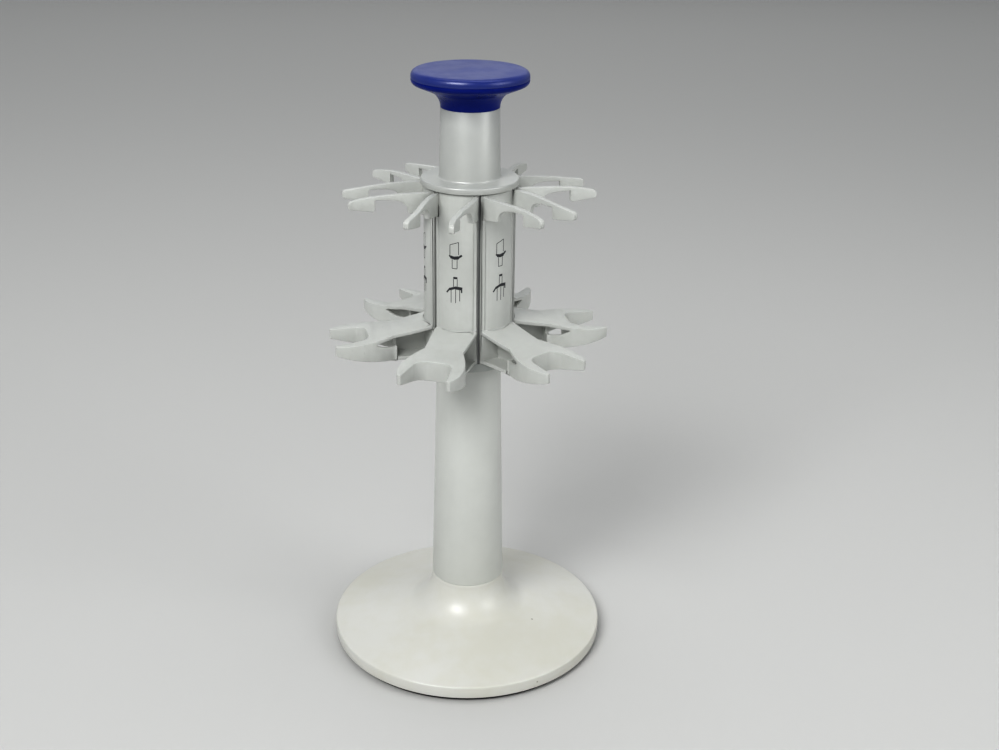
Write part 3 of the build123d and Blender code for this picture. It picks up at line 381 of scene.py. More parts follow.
@dataclass(frozen=True)
class Finish:
    """One finish, with the shared effects set for it.

    Colours are linear. Lengths of the bump are in millimetres.
    """

    name: str
    colour: Colour
    deep_colour: Colour
    roughness: float
    metallic: float = 0.0
    coat: float = 0.0
    coat_roughness: float = 0.2
    specular: float = 0.5
    tone_amount: float = 0.35
    tone_scale: float = 16.0
    grain: float = 2600.0
    grain_depth: float = 0.012
    wave: float = 14.0
    wave_share: float = 0.0
    roughness_spread: float = 0.05
    scuffs: float = 0.0
    scuff_colour: Colour = (0.4, 0.4, 0.4)
    speck_size: float = 0.0
    speck_colour: Colour = (0.15, 0.13, 0.10)

    def placed(
        self, tree: bpy.types.ShaderNodeTree, effect: bpy.types.ShaderNodeTree
    ) -> bpy.types.Node:
        """Put a shared effect in the material and give it the piece's own coordinates.

        Args:
            tree: the material's nodes.
            effect: the shared group.

        Returns:
            The group node.
        """
        node = tree.nodes.new("ShaderNodeGroup")
        node.node_tree = effect
        tree.links.new(tree.nodes["Texture Coordinate"].outputs["Object"], node.inputs["Place"])
        return node

    def material(self, effects: Effects) -> bpy.types.Material:
        """Build the material.

        Args:
            effects: the shared groups.

        Returns:
            The material, ready to be given to pieces.
        """
        made = bpy.data.materials.new(self.name)
        made.use_nodes = True
        tree = made.node_tree
        shader = tree.nodes["Principled BSDF"]
        tree.nodes.new("ShaderNodeTexCoord").name = "Texture Coordinate"
        shader.inputs["Metallic"].default_value = self.metallic
        shader.inputs["Coat Weight"].default_value = self.coat
        shader.inputs["Coat Roughness"].default_value = self.coat_roughness
        shader.inputs["Specular IOR Level"].default_value = self.specular
        tone = self.placed(tree, effects.tone)
        tone.inputs["Colour"].default_value = (*self.colour, 1)
        tone.inputs["Deep Colour"].default_value = (*self.deep_colour, 1)
        tone.inputs["Amount"].default_value = self.tone_amount
        tone.inputs["Scale"].default_value = self.tone_scale
        colour = tone.outputs["Colour"]
        if self.speck_size:
            specks = self.placed(tree, effects.specks)
            specks.inputs["Dirt"].default_value = (*self.speck_colour, 1)
            specks.inputs["Size"].default_value = self.speck_size
            tree.links.new(colour, specks.inputs["Colour"])
            colour = specks.outputs["Colour"]
        if self.scuffs:
            scuffs = self.placed(tree, effects.rubbing)
            scuffs.inputs["Strength"].default_value = self.scuffs
            worn = tree.nodes.new("ShaderNodeMix")
            worn.data_type = "RGBA"
            worn.inputs[MIX_SECOND].default_value = (*self.scuff_colour, 1)
            tree.links.new(scuffs.outputs["Mask"], worn.inputs["Factor"])
            tree.links.new(colour, worn.inputs[MIX_FIRST])
            colour = worn.outputs[MIX_RESULT]
        tree.links.new(colour, shader.inputs["Base Color"])
        skin = self.placed(tree, effects.skin)
        skin.inputs["Grain"].default_value = self.grain
        skin.inputs["Wave"].default_value = self.wave
        skin.inputs["Wave Share"].default_value = self.wave_share
        skin.inputs["Roughness"].default_value = self.roughness
        skin.inputs["Spread"].default_value = self.roughness_spread
        tree.links.new(skin.outputs["Roughness"], shader.inputs["Roughness"])
        bump = tree.nodes.new("ShaderNodeBump")
        bump.inputs["Strength"].default_value = 1.0
        bump.inputs["Distance"].default_value = self.grain_depth * MM
        tree.links.new(skin.outputs["Height"], bump.inputs["Height"])
        tree.links.new(bump.outputs["Normal"], shader.inputs["Normal"])
        return made


PEARL_WHITE = Finish(
    "pearl_white_shell", (0.665, 0.665, 0.635), (0.63, 0.625, 0.565), 0.36,
    coat=0.10, coat_roughness=0.32, tone_amount=0.8, tone_scale=11.0,
    grain_depth=0.010, wave=22.0, wave_share=2.2, roughness_spread=0.05,
    speck_size=0.075,
)
SATIN_SILVER = Finish(
    "satin_silver", (0.675, 0.685, 0.66), (0.615, 0.625, 0.60), 0.40,
    metallic=0.25, tone_amount=0.5, tone_scale=9.0,
    grain=3200.0, grain_depth=0.012, wave=10.0, wave_share=0.6,
)
# The grip tube gets the column's satin silver made darker, a shaded copy of one material: painted
# shade.
SATIN_SILVER_PAINTED_SHADE = Finish(
    "satin_silver_painted_shade", (0.575, 0.585, 0.565), (0.52, 0.53, 0.51), 0.42,
    metallic=0.25, tone_amount=0.5, tone_scale=9.0,
    grain=3200.0, grain_depth=0.012, wave=10.0, wave_share=0.6,
)
HOLDER_GREY = Finish(
    "holder_plastic", (0.57, 0.58, 0.56), (0.51, 0.52, 0.495), 0.40,
    tone_amount=0.55, tone_scale=24.0, grain_depth=0.014, wave_share=0.3,
    scuffs=0.35, scuff_colour=(0.40, 0.41, 0.39), speck_size=0.03,
)
COLLAR_GREY = Finish(
    "collar_plastic", (0.46, 0.475, 0.46), (0.40, 0.415, 0.40), 0.42,
    tone_amount=0.5, tone_scale=24.0, grain_depth=0.014,
)
# The stem's blue is the knob plastic kept very dark, as its neck looks in shade: painted shade.
ROYAL_BLUE = Finish(
    "royal_blue_knob", (0.003, 0.020, 0.23), (0.002, 0.015, 0.18), 0.30,
    specular=0.18, tone_amount=0.6, tone_scale=14.0, grain=3000.0, grain_depth=0.008,
    wave_share=0.2, scuffs=0.20, scuff_colour=(0.04, 0.06, 0.26),
)
# The cap's blue is the knob plastic made lighter and greyer: painted sheen, standing in for the
# bright reflection on its top.
ROYAL_BLUE_PAINTED_SHEEN = Finish(
    "royal_blue_painted_sheen", (0.010, 0.034, 0.24), (0.008, 0.026, 0.19), 0.34, specular=1.0,
    tone_amount=0.6, tone_scale=18.0, grain=1500.0, grain_depth=0.02, wave_share=0.1,
    scuffs=0.35, scuff_colour=(0.06, 0.08, 0.24),
)
BLACK_RUBBER = Finish(
    "foot_rubber", (0.018, 0.018, 0.019), (0.010, 0.010, 0.011), 0.72,
    grain=900.0, grain_depth=0.05, tone_amount=0.6, tone_scale=40.0,
    scuffs=0.6, scuff_colour=(0.07, 0.07, 0.07),
)
# The core's grey is raised so that the shaded seams between the holders read mid-grey instead of
# black: painted light in the seams.
CORE_PAINTED_SEAM_LIGHT = Finish(
    "core_plastic", (0.30, 0.305, 0.31), (0.24, 0.245, 0.25), 0.55,
    grain=1600.0, grain_depth=0.03, tone_amount=0.5, tone_scale=30.0,
)
COVER_PLASTIC = Finish(
    "cover_plastic", (0.10, 0.10, 0.105), (0.075, 0.075, 0.08), 0.55,
    grain=1100.0, grain_depth=0.05, tone_amount=0.6, tone_scale=26.0,
    scuffs=0.6, scuff_colour=(0.19, 0.19, 0.19), speck_size=0.06, speck_colour=(0.4, 0.39, 0.36),
)
INNER_PLASTIC = Finish(
    "inner_plastic", (0.17, 0.17, 0.175), (0.13, 0.13, 0.135), 0.5, tone_amount=0.5,
)
WASHER_PLASTIC = Finish(
    "washer_plastic", (0.66, 0.65, 0.60), (0.58, 0.57, 0.52), 0.45, tone_amount=0.5,
)
GROUND_STEEL = Finish(
    "ground_steel", (0.53, 0.53, 0.54), (0.42, 0.42, 0.43), 0.28,
    metallic=1.0, tone_amount=0.5, tone_scale=60.0, grain=4000.0, grain_depth=0.006,
)
ZINC_STEEL = Finish(
    "zinc_steel", (0.50, 0.51, 0.52), (0.36, 0.37, 0.39), 0.33,
    metallic=1.0, tone_amount=0.7, tone_scale=240.0, grain=2000.0, grain_depth=0.01,
)
BALLAST_STEEL = Finish(
    "ballast_steel", (0.20, 0.19, 0.18), (0.11, 0.09, 0.08), 0.55,
    metallic=0.8, tone_amount=0.9, tone_scale=45.0, grain=700.0, grain_depth=0.08,
)
BUSH_BRONZE = Finish(
    "bush_bronze", (0.50, 0.33, 0.16), (0.38, 0.24, 0.11), 0.45,
    metallic=1.0, tone_amount=0.6, tone_scale=120.0, grain=1500.0, grain_depth=0.02,
)
PRINT_INK = Finish(
    "print_ink", (0.035, 0.037, 0.042), (0.06, 0.062, 0.068), 0.5,
    tone_amount=0.7, tone_scale=300.0, grain_depth=0.006,
)


class Paintbox:
    """Makes each finish's material once and hands it out."""

    def __init__(self) -> None:
        """Build the shared effects and start with no materials."""
        self.effects = Effects()
        self.made: dict[str, bpy.types.Material] = {}

    def dress(self, piece: bpy.types.Object, finish: Finish) -> None:
        """Give a piece its finish and report the piece.

        Args:
            piece: the object to dress.
            finish: the finish that it gets.
        """
        if finish.name not in self.made:
            self.made[finish.name] = finish.material(self.effects)
        piece.data.materials.clear()
        piece.data.materials.append(self.made[finish.name])
        log.info("%s: %s, %d faces", piece.name, finish.name, len(piece.data.polygons))


# ---- Mesh work -----------------------------------------------------------------------------------


@dataclass
class Round:
    """A rounded or chamfered ring on a turned piece."""

    radius: float
    height: float
    size: float
    segments: int = 4


@dataclass
class Lathe:
    """Turns closed wall profiles round the upright axis."""

    RING_REACH: ClassVar[float] = 5 * WELD
    steps: int = 192

    def turn(
        self, name: str, profile: list[Point], rounds: list[Round], hollow: bool = True
    ) -> bpy.types.Object:
        """Turn a profile into a closed piece.

        Args:
            name: name of the piece.
            profile: corners as (radius, height).
            rounds: the rings to soften.
            hollow: True if the profile is a closed wall, False if it starts and ends on the axis.

        Returns:
            The new object.
        """
        mesh = bmesh.new()
        corners = [mesh.verts.new((radius * MM, 0, height * MM)) for radius, height in profile]
        edges = [mesh.edges.new(pair) for pair in zip(corners, corners[1:])]
        if hollow:
            edges.append(mesh.edges.new((corners[-1], corners[0])))
        bmesh.ops.spin(
            mesh,
            geom=corners + edges,
            cent=(0, 0, 0),
            axis=(0, 0, 1),
            dvec=(0, 0, 0),
            angle=math.tau,
            steps=self.steps,
            use_merge=True,
            use_duplicate=False,
        )
        bmesh.ops.remove_doubles(mesh, verts=mesh.verts, dist=WELD)
        bmesh.ops.recalc_face_normals(mesh, faces=mesh.faces)
        for ring in rounds:
            self.soften(mesh, ring)
        return Shop.finished(name, mesh)

    @staticmethod
    def soften(mesh: bmesh.types.BMesh, ring: Round) -> None:
        """Round one ring of edges.

        Args:
            mesh: the turned mesh.
            ring: the place and radius of the round.
        """
        edges = [
            edge
            for edge in mesh.edges
            if all(
                abs(math.hypot(vert.co.x, vert.co.y) - ring.radius * MM) < Lathe.RING_REACH
                and abs(vert.co.z - ring.height * MM) < Lathe.RING_REACH
                for vert in edge.verts
            )
        ]
        if not edges:
            raise ValueError(f"no ring at radius {ring.radius} and height {ring.height}")
        turn = edges[0].calc_face_angle()
        bmesh.ops.bevel(
            mesh,
            geom=edges,
            offset=ring.size * MM * math.tan(turn / 2),
            offset_type="OFFSET",
            segments=ring.segments,
            profile=0.5,
            affect="EDGES",
            clamp_overlap=True,
            material=-1,
        )


class Shop:
    """Small jobs on meshes that several sub-assemblies need. Angles are in degrees."""

    SHARP_ANGLE = 32.0  # edges that turn more stay crisp
    FLAT_ANGLE = 1.0  # faces that turn less are one
    FOLD_ANGLE = 28.0  # edges that turn more are rounded
    FOLD_SEGMENTS = 3

    @staticmethod
    def placed(name: str, mesh: bmesh.types.BMesh) -> bpy.types.Object:
        """Turn a bmesh into a smooth-shaded object at the origin.

        Args:
            name: name of the piece.
            mesh: the mesh, which is freed.

        Returns:
            The new object.
        """
        data = bpy.data.meshes.new(name)
        mesh.to_mesh(data)
        mesh.free()
        data.shade_smooth()
        piece = bpy.data.objects.new(name, data)
        bpy.context.scene.collection.objects.link(piece)
        return piece

    @staticmethod
    def finished(name: str, mesh: bmesh.types.BMesh) -> bpy.types.Object:
        """Turn a bmesh into an object whose sharp edges stay crisp.

        Args:
            name: name of the piece.
            mesh: the mesh, which is freed.

        Returns:
            The new object.
        """
        piece = Shop.placed(name, mesh)
        piece.data.set_sharp_from_angle(angle=math.radians(Shop.SHARP_ANGLE))
        return piece

    @staticmethod
    def softened_copy(node: bpy.types.Object, name: str, width: float) -> bpy.types.Object:
        """Copy a solid's mesh, merge it and round its sharp edges.

        Args:
            node: the solid's object.
            name: name of the copy.
            width: width of the round.

        Returns:
            The new object.
        """
        mesh = bmesh.new()
        mesh.from_mesh(node.data)
        bmesh.ops.remove_doubles(mesh, verts=mesh.verts, dist=WELD)
        bmesh.ops.dissolve_limit(
            mesh, angle_limit=math.radians(Shop.FLAT_ANGLE), verts=mesh.verts, edges=mesh.edges
        )
        piece = Shop.placed(name, mesh)
        soft = piece.modifiers.new("soft_edges", "BEVEL")
        soft.width = width * MM
        soft.segments = Shop.FOLD_SEGMENTS
        soft.limit_method = "ANGLE"
        soft.angle_limit = math.radians(Shop.FOLD_ANGLE)
        soft.use_clamp_overlap = False
        soft.miter_outer = "MITER_ARC"
        soft.harden_normals = True
        return piece


# ---- Sub-assemblies ----------------------------------------------------------------------------


@dataclass
class Foot:
    """Round foot: the moulded shell, its rubber ring and the plate under it."""

    paint: Paintbox
    lathe: Lathe
    radius: float = 92.5
    neck_radius: float = 24.3
    rim_height: float = 8.3
    cone_top: float = 26.3
    neck_top: float = 46.0
    wall: float = 3.0
    deck: float = 4.0
    edge_round: float = 1.2
    lower_edge_round: float = 0.8
    neck_sweep: float = 22.0
    inner_sweep: float = 19.0
    seam_chamfer: float = 0.4
    groove_depth: float = 1.6
    groove_width: float = 8.3
    groove_clearance: float = 0.15
    core_radius: float = 79.0
    spigot_radius: float = 21.8
    spigot_height: float = 6.0
    bore: float = 5.15

    def shell(self) -> bpy.types.Object:
        """Turn the moulded shell, with the groove for the ring and the spigot for the column.

        Returns:
            The shell.
        """
        rim_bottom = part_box("base_shell")[0].z / MM
        rim_top = rim_bottom + self.rim_height
        groove_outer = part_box("foot_ring")[1].x / MM + self.groove_clearance
        groove_inner = groove_outer - self.groove_width
        groove_top = rim_bottom + self.groove_depth
        inner_foot = rim_top + (self.radius - self.core_radius) * self.slope(rim_top) - self.wall
        neck_inner = self.neck_radius - self.wall
        inner_top = rim_top + (self.radius - neck_inner) * self.slope(rim_top) - self.wall
        deck_bottom = self.neck_top - self.deck
        spigot_inner = self.spigot_radius - self.wall
        profile = [
            (self.radius, rim_bottom),
            (self.radius, rim_top),
            (self.neck_radius, self.cone_top),
            (self.neck_radius, self.neck_top),
            (self.spigot_radius, self.neck_top),
            (self.spigot_radius, self.neck_top + self.spigot_height),
            (spigot_inner, self.neck_top + self.spigot_height),
            (spigot_inner, self.neck_top),
            (self.bore, self.neck_top),
            (self.bore, deck_bottom),
            (neck_inner, deck_bottom),
            (neck_inner, inner_top),
            (self.core_radius, inner_foot),
            (self.core_radius, rim_bottom),
            (groove_inner, rim_bottom),
            (groove_inner, groove_top),
            (groove_outer, groove_top),
            (groove_outer, rim_bottom),
        ]
        rounds = [
            Round(self.radius, rim_top, self.edge_round, segments=5),
            Round(self.neck_radius, self.cone_top, self.neck_sweep, segments=18),
            Round(neck_inner, inner_top, self.inner_sweep, segments=8),
            Round(self.neck_radius, self.neck_top, self.seam_chamfer, segments=2),
            Round(self.radius, rim_bottom, self.lower_edge_round, segments=3),
        ]
        return self.lathe.turn("base_shell_skin", profile, rounds)

    def slope(self, rim_top: float) -> float:
        """Rise of the cone for each millimetre inwards."""
        return (self.cone_top - rim_top) / (self.radius - self.neck_radius)

    def build(self) -> None:
        """Build and dress the foot."""
        shell = self.shell()
        self.paint.dress(shell, PEARL_WHITE)
        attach(shell, Body.STAND.value)
        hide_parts("base_shell")


@dataclass
class Column:
    """Tapered tube that stands on the foot's neck."""

    paint: Paintbox
    lathe: Lathe
    foot_radius: float = 24.3
    top_radius: float = 20.9
    wall: float = 2.2
    seam_chamfer: float = 0.4

    def build(self) -> None:
        """Build and dress the column."""
        low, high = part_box("column")
        bottom, top = low.z / MM, high.z / MM
        profile = [
            (self.foot_radius - self.wall, bottom),
            (self.foot_radius, bottom),
            (self.top_radius, top),
            (self.top_radius - self.wall, top),
        ]
        rounds = [
            Round(self.foot_radius, bottom, self.seam_chamfer, segments=2),
            Round(self.top_radius, top, self.seam_chamfer, segments=2),
        ]
        tube = self.lathe.turn("column_skin", profile, rounds)
        self.paint.dress(tube, SATIN_SILVER)
        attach(tube, Body.STAND.value)
        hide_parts("column")


@dataclass
class Grip:
    """Grip tube with its flange, and the two halves of the knob."""

    paint: Paintbox
    lathe: Lathe
    flange_radius: float = 30.65
    flange_edge: float = 0.9
    rim_height: float = 3.9
    shadow_gap: float = 0.8
    seat_inset: float = 2.4
    tube_radius: float = 19.1
    tube_top_radius: float = 18.3
    tube_height: float = 43.4
    wall: float = 2.4
    hole: float = 10.5
    root_round: float = 1.4
    seam_chamfer: float = 0.4
    knob_radius: float = 36.1
    neck_rise: float = 7.15
    flare_slope: float = 0.42
    neck_sweep: float = 10.0
    rim_round: float = 2.7
    stem_height: float = 17.4
    stem_floor: float = 4.0
    screw_bore: float = 2.15
    cap_height: float = 5.5
    crown: float = 0.5
    dome_rings: int = 6
    top_round: float = 3.6
    parting_chamfer: float = 0.3

    def tube(self, hub_top: float) -> bpy.types.Object:
        """Turn the flange and the tube in one piece.

        Args:
            hub_top: height of the holders' tops.

        Returns:
            The grip tube.
        """
        rim_bottom = hub_top + self.shadow_gap
        flange_top = rim_bottom + self.rim_height
        top = flange_top + self.tube_height
        seat = self.flange_radius - self.seat_inset
        profile = [
            (self.hole, hub_top),
            (seat, hub_top),
            (seat, rim_bottom),
            (self.flange_radius, rim_bottom),
            (self.flange_radius, flange_top),
            (self.tube_radius, flange_top),
            (self.tube_top_radius, top),
            (self.tube_top_radius - self.wall, top),
            (self.tube_radius - self.wall, flange_top),
            (self.hole, flange_top),
        ]
        rounds = [
            Round(self.flange_radius, flange_top, self.flange_edge, segments=4),
            Round(self.flange_radius, rim_bottom, self.seam_chamfer, segments=2),
            Round(self.tube_radius, flange_top, self.root_round, segments=4),
            Round(self.tube_top_radius, top, self.seam_chamfer, segments=2),
        ]
        return self.lathe.turn("grip_tube_skin", profile, rounds)

    def stem(self, tube_top: float) -> bpy.types.Object:
        """Turn the flared lower half of the knob.

        Args:
            tube_top: height of the tube's top.

        Returns:
            The stem.
        """
        flare_start = tube_top + self.neck_rise
        flare_end = flare_start + (self.knob_radius - self.tube_top_radius) * self.flare_slope
        parting = tube_top + self.stem_height
        inner = self.tube_top_radius - self.wall
        rim_inner = self.knob_radius - self.wall
        wall_rise = self.wall * math.sqrt(1 + self.flare_slope**2)
        profile = [
            (self.screw_bore, tube_top),
            (self.tube_top_radius, tube_top),
            (self.tube_top_radius, flare_start),
            (self.knob_radius, flare_end),
            (self.knob_radius, parting),
            (rim_inner, parting),
            (rim_inner, flare_end + wall_rise - self.wall * self.flare_slope),
            (inner, flare_start + wall_rise),
            (inner, tube_top + self.stem_floor),
            (self.screw_bore, tube_top + self.stem_floor),
        ]
        rounds = [
            Round(self.tube_top_radius, tube_top, self.parting_chamfer, segments=2),
            Round(self.tube_top_radius, flare_start, self.neck_sweep, segments=12),
            Round(self.knob_radius, flare_end, self.rim_round, segments=6),
            Round(self.knob_radius, parting, self.parting_chamfer, segments=3),
        ]
        return self.lathe.turn("knob_stem_skin", profile, rounds)

    def cap(self, parting: float) -> bpy.types.Object:
        """Turn the slightly domed upper half of the knob.

        Args:
            parting: height of the line between the halves.

        Returns:
            The cap.
        """
        top = parting + self.cap_height
        rings = self.dome_rings
        dome = [
            (self.knob_radius * step / rings, top - self.crown * (step / rings) ** 2)
            for step in range(rings + 1)
        ]
        inner = self.knob_radius - self.wall
        profile = dome + [
            (self.knob_radius, parting),
            (inner, parting),
            (inner, top - self.crown - self.wall),
            (0, top - self.crown - self.wall),
        ]
        rounds = [
            Round(self.knob_radius, top - self.crown, self.top_round, segments=10),
            Round(self.knob_radius, parting, self.parting_chamfer, segments=3),
        ]
        return self.lathe.turn("knob_cap_skin", profile, rounds, hollow=False)

    def build(self) -> None:
        """Build and dress the grip tube and the knob."""
        hub_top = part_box("holder_1")[1].z / MM
        tube_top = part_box("tube_plug")[1].z / MM
        parting = tube_top + self.stem_height
        # The tube's finish is a darker copy of the column's satin silver (painted shade). The cap's
        # finish is a lighter, greyer copy of the stem's blue (painted sheen).
        made = (
            (self.tube(hub_top), "grip_tube", SATIN_SILVER_PAINTED_SHADE, "column_satin"),
            (self.stem(tube_top), "knob_stem", ROYAL_BLUE, "knob_plastic"),
            (self.cap(parting), "knob_cap", ROYAL_BLUE_PAINTED_SHEEN, "knob_plastic"),
        )
        for piece, node, finish, slot in made:
            self.paint.dress(piece, finish)
            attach(piece, Body.CAROUSEL.value)
            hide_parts(node)


@dataclass
class PrintedMark:
    """Hanging pictogram that is printed on a holder's panel.

    It is drawn flat, with x across the panel and y up, and then laid on the panel's curve.
    """

    panel_radius: float = 28.9
    ink_depth: float = 0.04
    line: float = 0.35
    upper_height: float = 283.0
    lower_height: float = 261.0
    straight_length: float = 1.5  # a longer strip is cut, so that it follows the curve
    long_edge_share: float = 0.9
    cuts: int = 3
    strips: list[tuple[Point, Point, float]] = field(default_factory=list)

    def draw(self) -> None:
        """Fill the list of strips, each with two ends and a width."""
        up, low = self.upper_height, self.lower_height
        self.strips = [
            ((-3.4, up + 7.5), (-3.4, up + 0.5), self.line),
            ((2.2, up + 9.5), (2.2, up + 1.5), self.line),
            ((-3.4, up + 7.5), (2.2, up + 9.5), self.line),
            ((-3.9, up + 0.7), (-2.6, up - 0.4), 1.0),
            ((-3.0, up - 0.2), (-0.4, up - 0.8), 1.8),
            ((-0.8, up - 0.8), (2.3, up - 0.3), 2.0),
            ((2.0, up - 0.4), (4.3, up + 1.3), 1.2),
            ((-1.9, up - 1.5), (-1.9, up - 7.5), self.line),
            ((1.3, up - 1.0), (1.3, up - 7.5), self.line),
            ((-1.9, up - 7.5), (1.3, up - 7.5), self.line),
            ((-1.1, low + 8.4), (1.5, low + 8.4), 1.3),
            ((-1.0, low + 7.6), (-1.0, low + 2.6), self.line),
            ((1.4, low + 7.6), (1.4, low + 2.6), self.line),
            ((-5.6, low - 1.6), (-3.6, low + 1.0), 0.9),
            ((-3.8, low + 0.7), (0.6, low + 2.2), 1.5),
            ((0.2, low + 2.0), (4.6, low + 1.6), 1.9),
            ((4.2, low + 2.2), (4.2, low - 1.0), 0.8),
            ((-2.6, low + 0.4), (-2.6, low - 8.0), self.line),
            ((0.4, low + 1.0), (0.4, low - 8.0), self.line),
            ((3.0, low + 0.8), (3.0, low - 6.6), self.line),
        ]

    def mesh(self, angle: float) -> bmesh.types.BMesh:
        """Make the printed strips on the panel of one holder.

        Args:
            angle: the holder's direction round the axis, in radians.

        Returns:
            The mesh of all strips.
        """
        made = bmesh.new()
        for start, end, width in self.strips:
            self.add_strip(made, Vector(start), Vector(end), width)
        for vert in made.verts:
            around = angle + vert.co.x / self.panel_radius
            radius = (self.panel_radius + vert.co.z) * MM
            height = vert.co.y * MM
            vert.co = Vector((radius * math.cos(around), radius * math.sin(around), height))
        bmesh.ops.recalc_face_normals(made, faces=made.faces)
        return made

    def add_strip(self, made: bmesh.types.BMesh, start: Vector, end: Vector, width: float) -> None:
        """Add one straight strip of ink.

        Args:
            made: the mesh that it joins.
            start: one end.
            end: the other end.
            width: width of the strip.
        """
        along = end - start
        turn = Matrix.Rotation(math.atan2(along.y, along.x), 4, "Z")
        middle = (start + end) / 2
        place = Matrix.Translation((middle.x, middle.y, 0))
        size = Matrix.Diagonal((along.length, width, 2 * self.ink_depth, 1))
        box = bmesh.ops.create_cube(made, size=1.0, matrix=place @ turn @ size)
        if along.length <= self.straight_length:
            return
        long_edges = [
            edge
            for vert in box["verts"]
            for edge in vert.link_edges
            if edge.calc_length() > self.long_edge_share * along.length
        ]
        bmesh.ops.subdivide_edges(
            made, edges=list(set(long_edges)), cuts=self.cuts, use_grid_fill=True
        )


@dataclass
class Hub:
    """Six moulded holders around a core, with the collar under them."""

    paint: Paintbox
    lathe: Lathe
    holder_count: int = 6
    first_angle: float = -47.66
    edge_round: float = 0.4
    collar_radius: float = 27.6
    collar_wall: float = 2.6
    collar_edge: float = 0.8
    collar_step: float = 0.5
    collar_inset: float = 1.4
    collar_shoulder_round: float = 0.3
    collar_bore: float = 6.65

    def collar(self) -> bpy.types.Object:
        """Turn the collar under the holders.

        Returns:
            The collar.
        """
        low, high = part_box("hub_collar")
        bottom, top = low.z / MM, high.z / MM
        plate_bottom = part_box("lower_bush")[0].z / MM
        inner = self.collar_radius - self.collar_wall
        step = self.collar_radius - self.collar_inset
        profile = [
            (self.collar_bore, plate_bottom),
            (inner, plate_bottom),
            (inner, bottom),
            (self.collar_radius, bottom),
            (self.collar_radius, top - self.collar_step),
            (step, top - self.collar_step),
            (step, top),
            (self.collar_bore, top),
        ]
        rounds = [
            Round(self.collar_radius, bottom, self.collar_edge, segments=4),
            Round(self.collar_radius, top - self.collar_step, self.collar_shoulder_round, segments=2),
        ]
        return self.lathe.turn("hub_collar_skin", profile, rounds)

    def build(self) -> None:
        """Build and dress the holders, their printed marks and the collar."""
        mark = PrintedMark()
        mark.draw()
        for number in range(self.holder_count):
            node = f"holder_{number + 1}"
            skin = Shop.softened_copy(solids()[node], f"{node}_skin", self.edge_round)
            self.paint.dress(skin, HOLDER_GREY)
            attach(skin, Body.CAROUSEL.value)
            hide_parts(node)
            angle = math.radians(self.first_angle + 360 * number / self.holder_count)
            printed = Shop.finished(f"{node}_print", mark.mesh(angle))
            self.paint.dress(printed, PRINT_INK)
            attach(printed, Body.CAROUSEL.value)
        collar = self.collar()
        self.paint.dress(collar, COLLAR_GREY)
        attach(collar, Body.CAROUSEL.value)
        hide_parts("hub_collar")


def solids() -> dict[str, bpy.types.Object]:
    """The solids of the frame, by name."""
    return {piece["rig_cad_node"]: piece for piece in bpy.data.objects if "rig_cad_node" in piece}


@dataclass
class KeptSolids:
    """Solids that keep their own meshes and get a finish."""

    paint: Paintbox
    finishes: dict[str, Finish] = field(
        default_factory=lambda: {
            "foot_ring": BLACK_RUBBER,
            "ballast": BALLAST_STEEL,
            "cover_plate": COVER_PLASTIC,
            "plate_screws": ZINC_STEEL,
            "column_head": INNER_PLASTIC,
            "spindle": GROUND_STEEL,
            "spindle_washers": ZINC_STEEL,
            "spindle_nuts": ZINC_STEEL,
            "thrust_washer": WASHER_PLASTIC,
            "lower_bush": BUSH_BRONZE,
            "upper_bush": BUSH_BRONZE,
            # the core's grey carries painted light for the shaded seams between the holders
            "hub_core": CORE_PAINTED_SEAM_LIGHT,
            "collar_screws": ZINC_STEEL,
            "cap_screws": ZINC_STEEL,
            "tube_plug": INNER_PLASTIC,
            "knob_screw": ZINC_STEEL,
        }
    )

    def build(self) -> None:
        """Dress the solids that stay."""
        nodes = solids()
        for name, finish in self.finishes.items():
            self.paint.dress(nodes[name], finish)


# ---- Studio --------------------------------------------------------------------------------------


@dataclass
class Softbox:
    """A rectangular soft light that is aimed at the stand's axis, in metres and watts."""

    name: str
    place: tuple[float, float, float]
    aim: float
    size: tuple[float, float]
    power: float

    def build(self) -> None:
        """Hang the light."""
        data = bpy.data.lights.new(self.name, "AREA")
        data.shape = "RECTANGLE"
        data.size, data.size_y = self.size
        data.energy = self.power
        light = bpy.data.objects.new(self.name, data)
        bpy.context.scene.collection.objects.link(light)
        light.location = self.place
        beam = Vector((0, 0, self.aim)) - Vector(self.place)
        light.rotation_euler = beam.to_track_quat("-Z", "Y").to_euler()


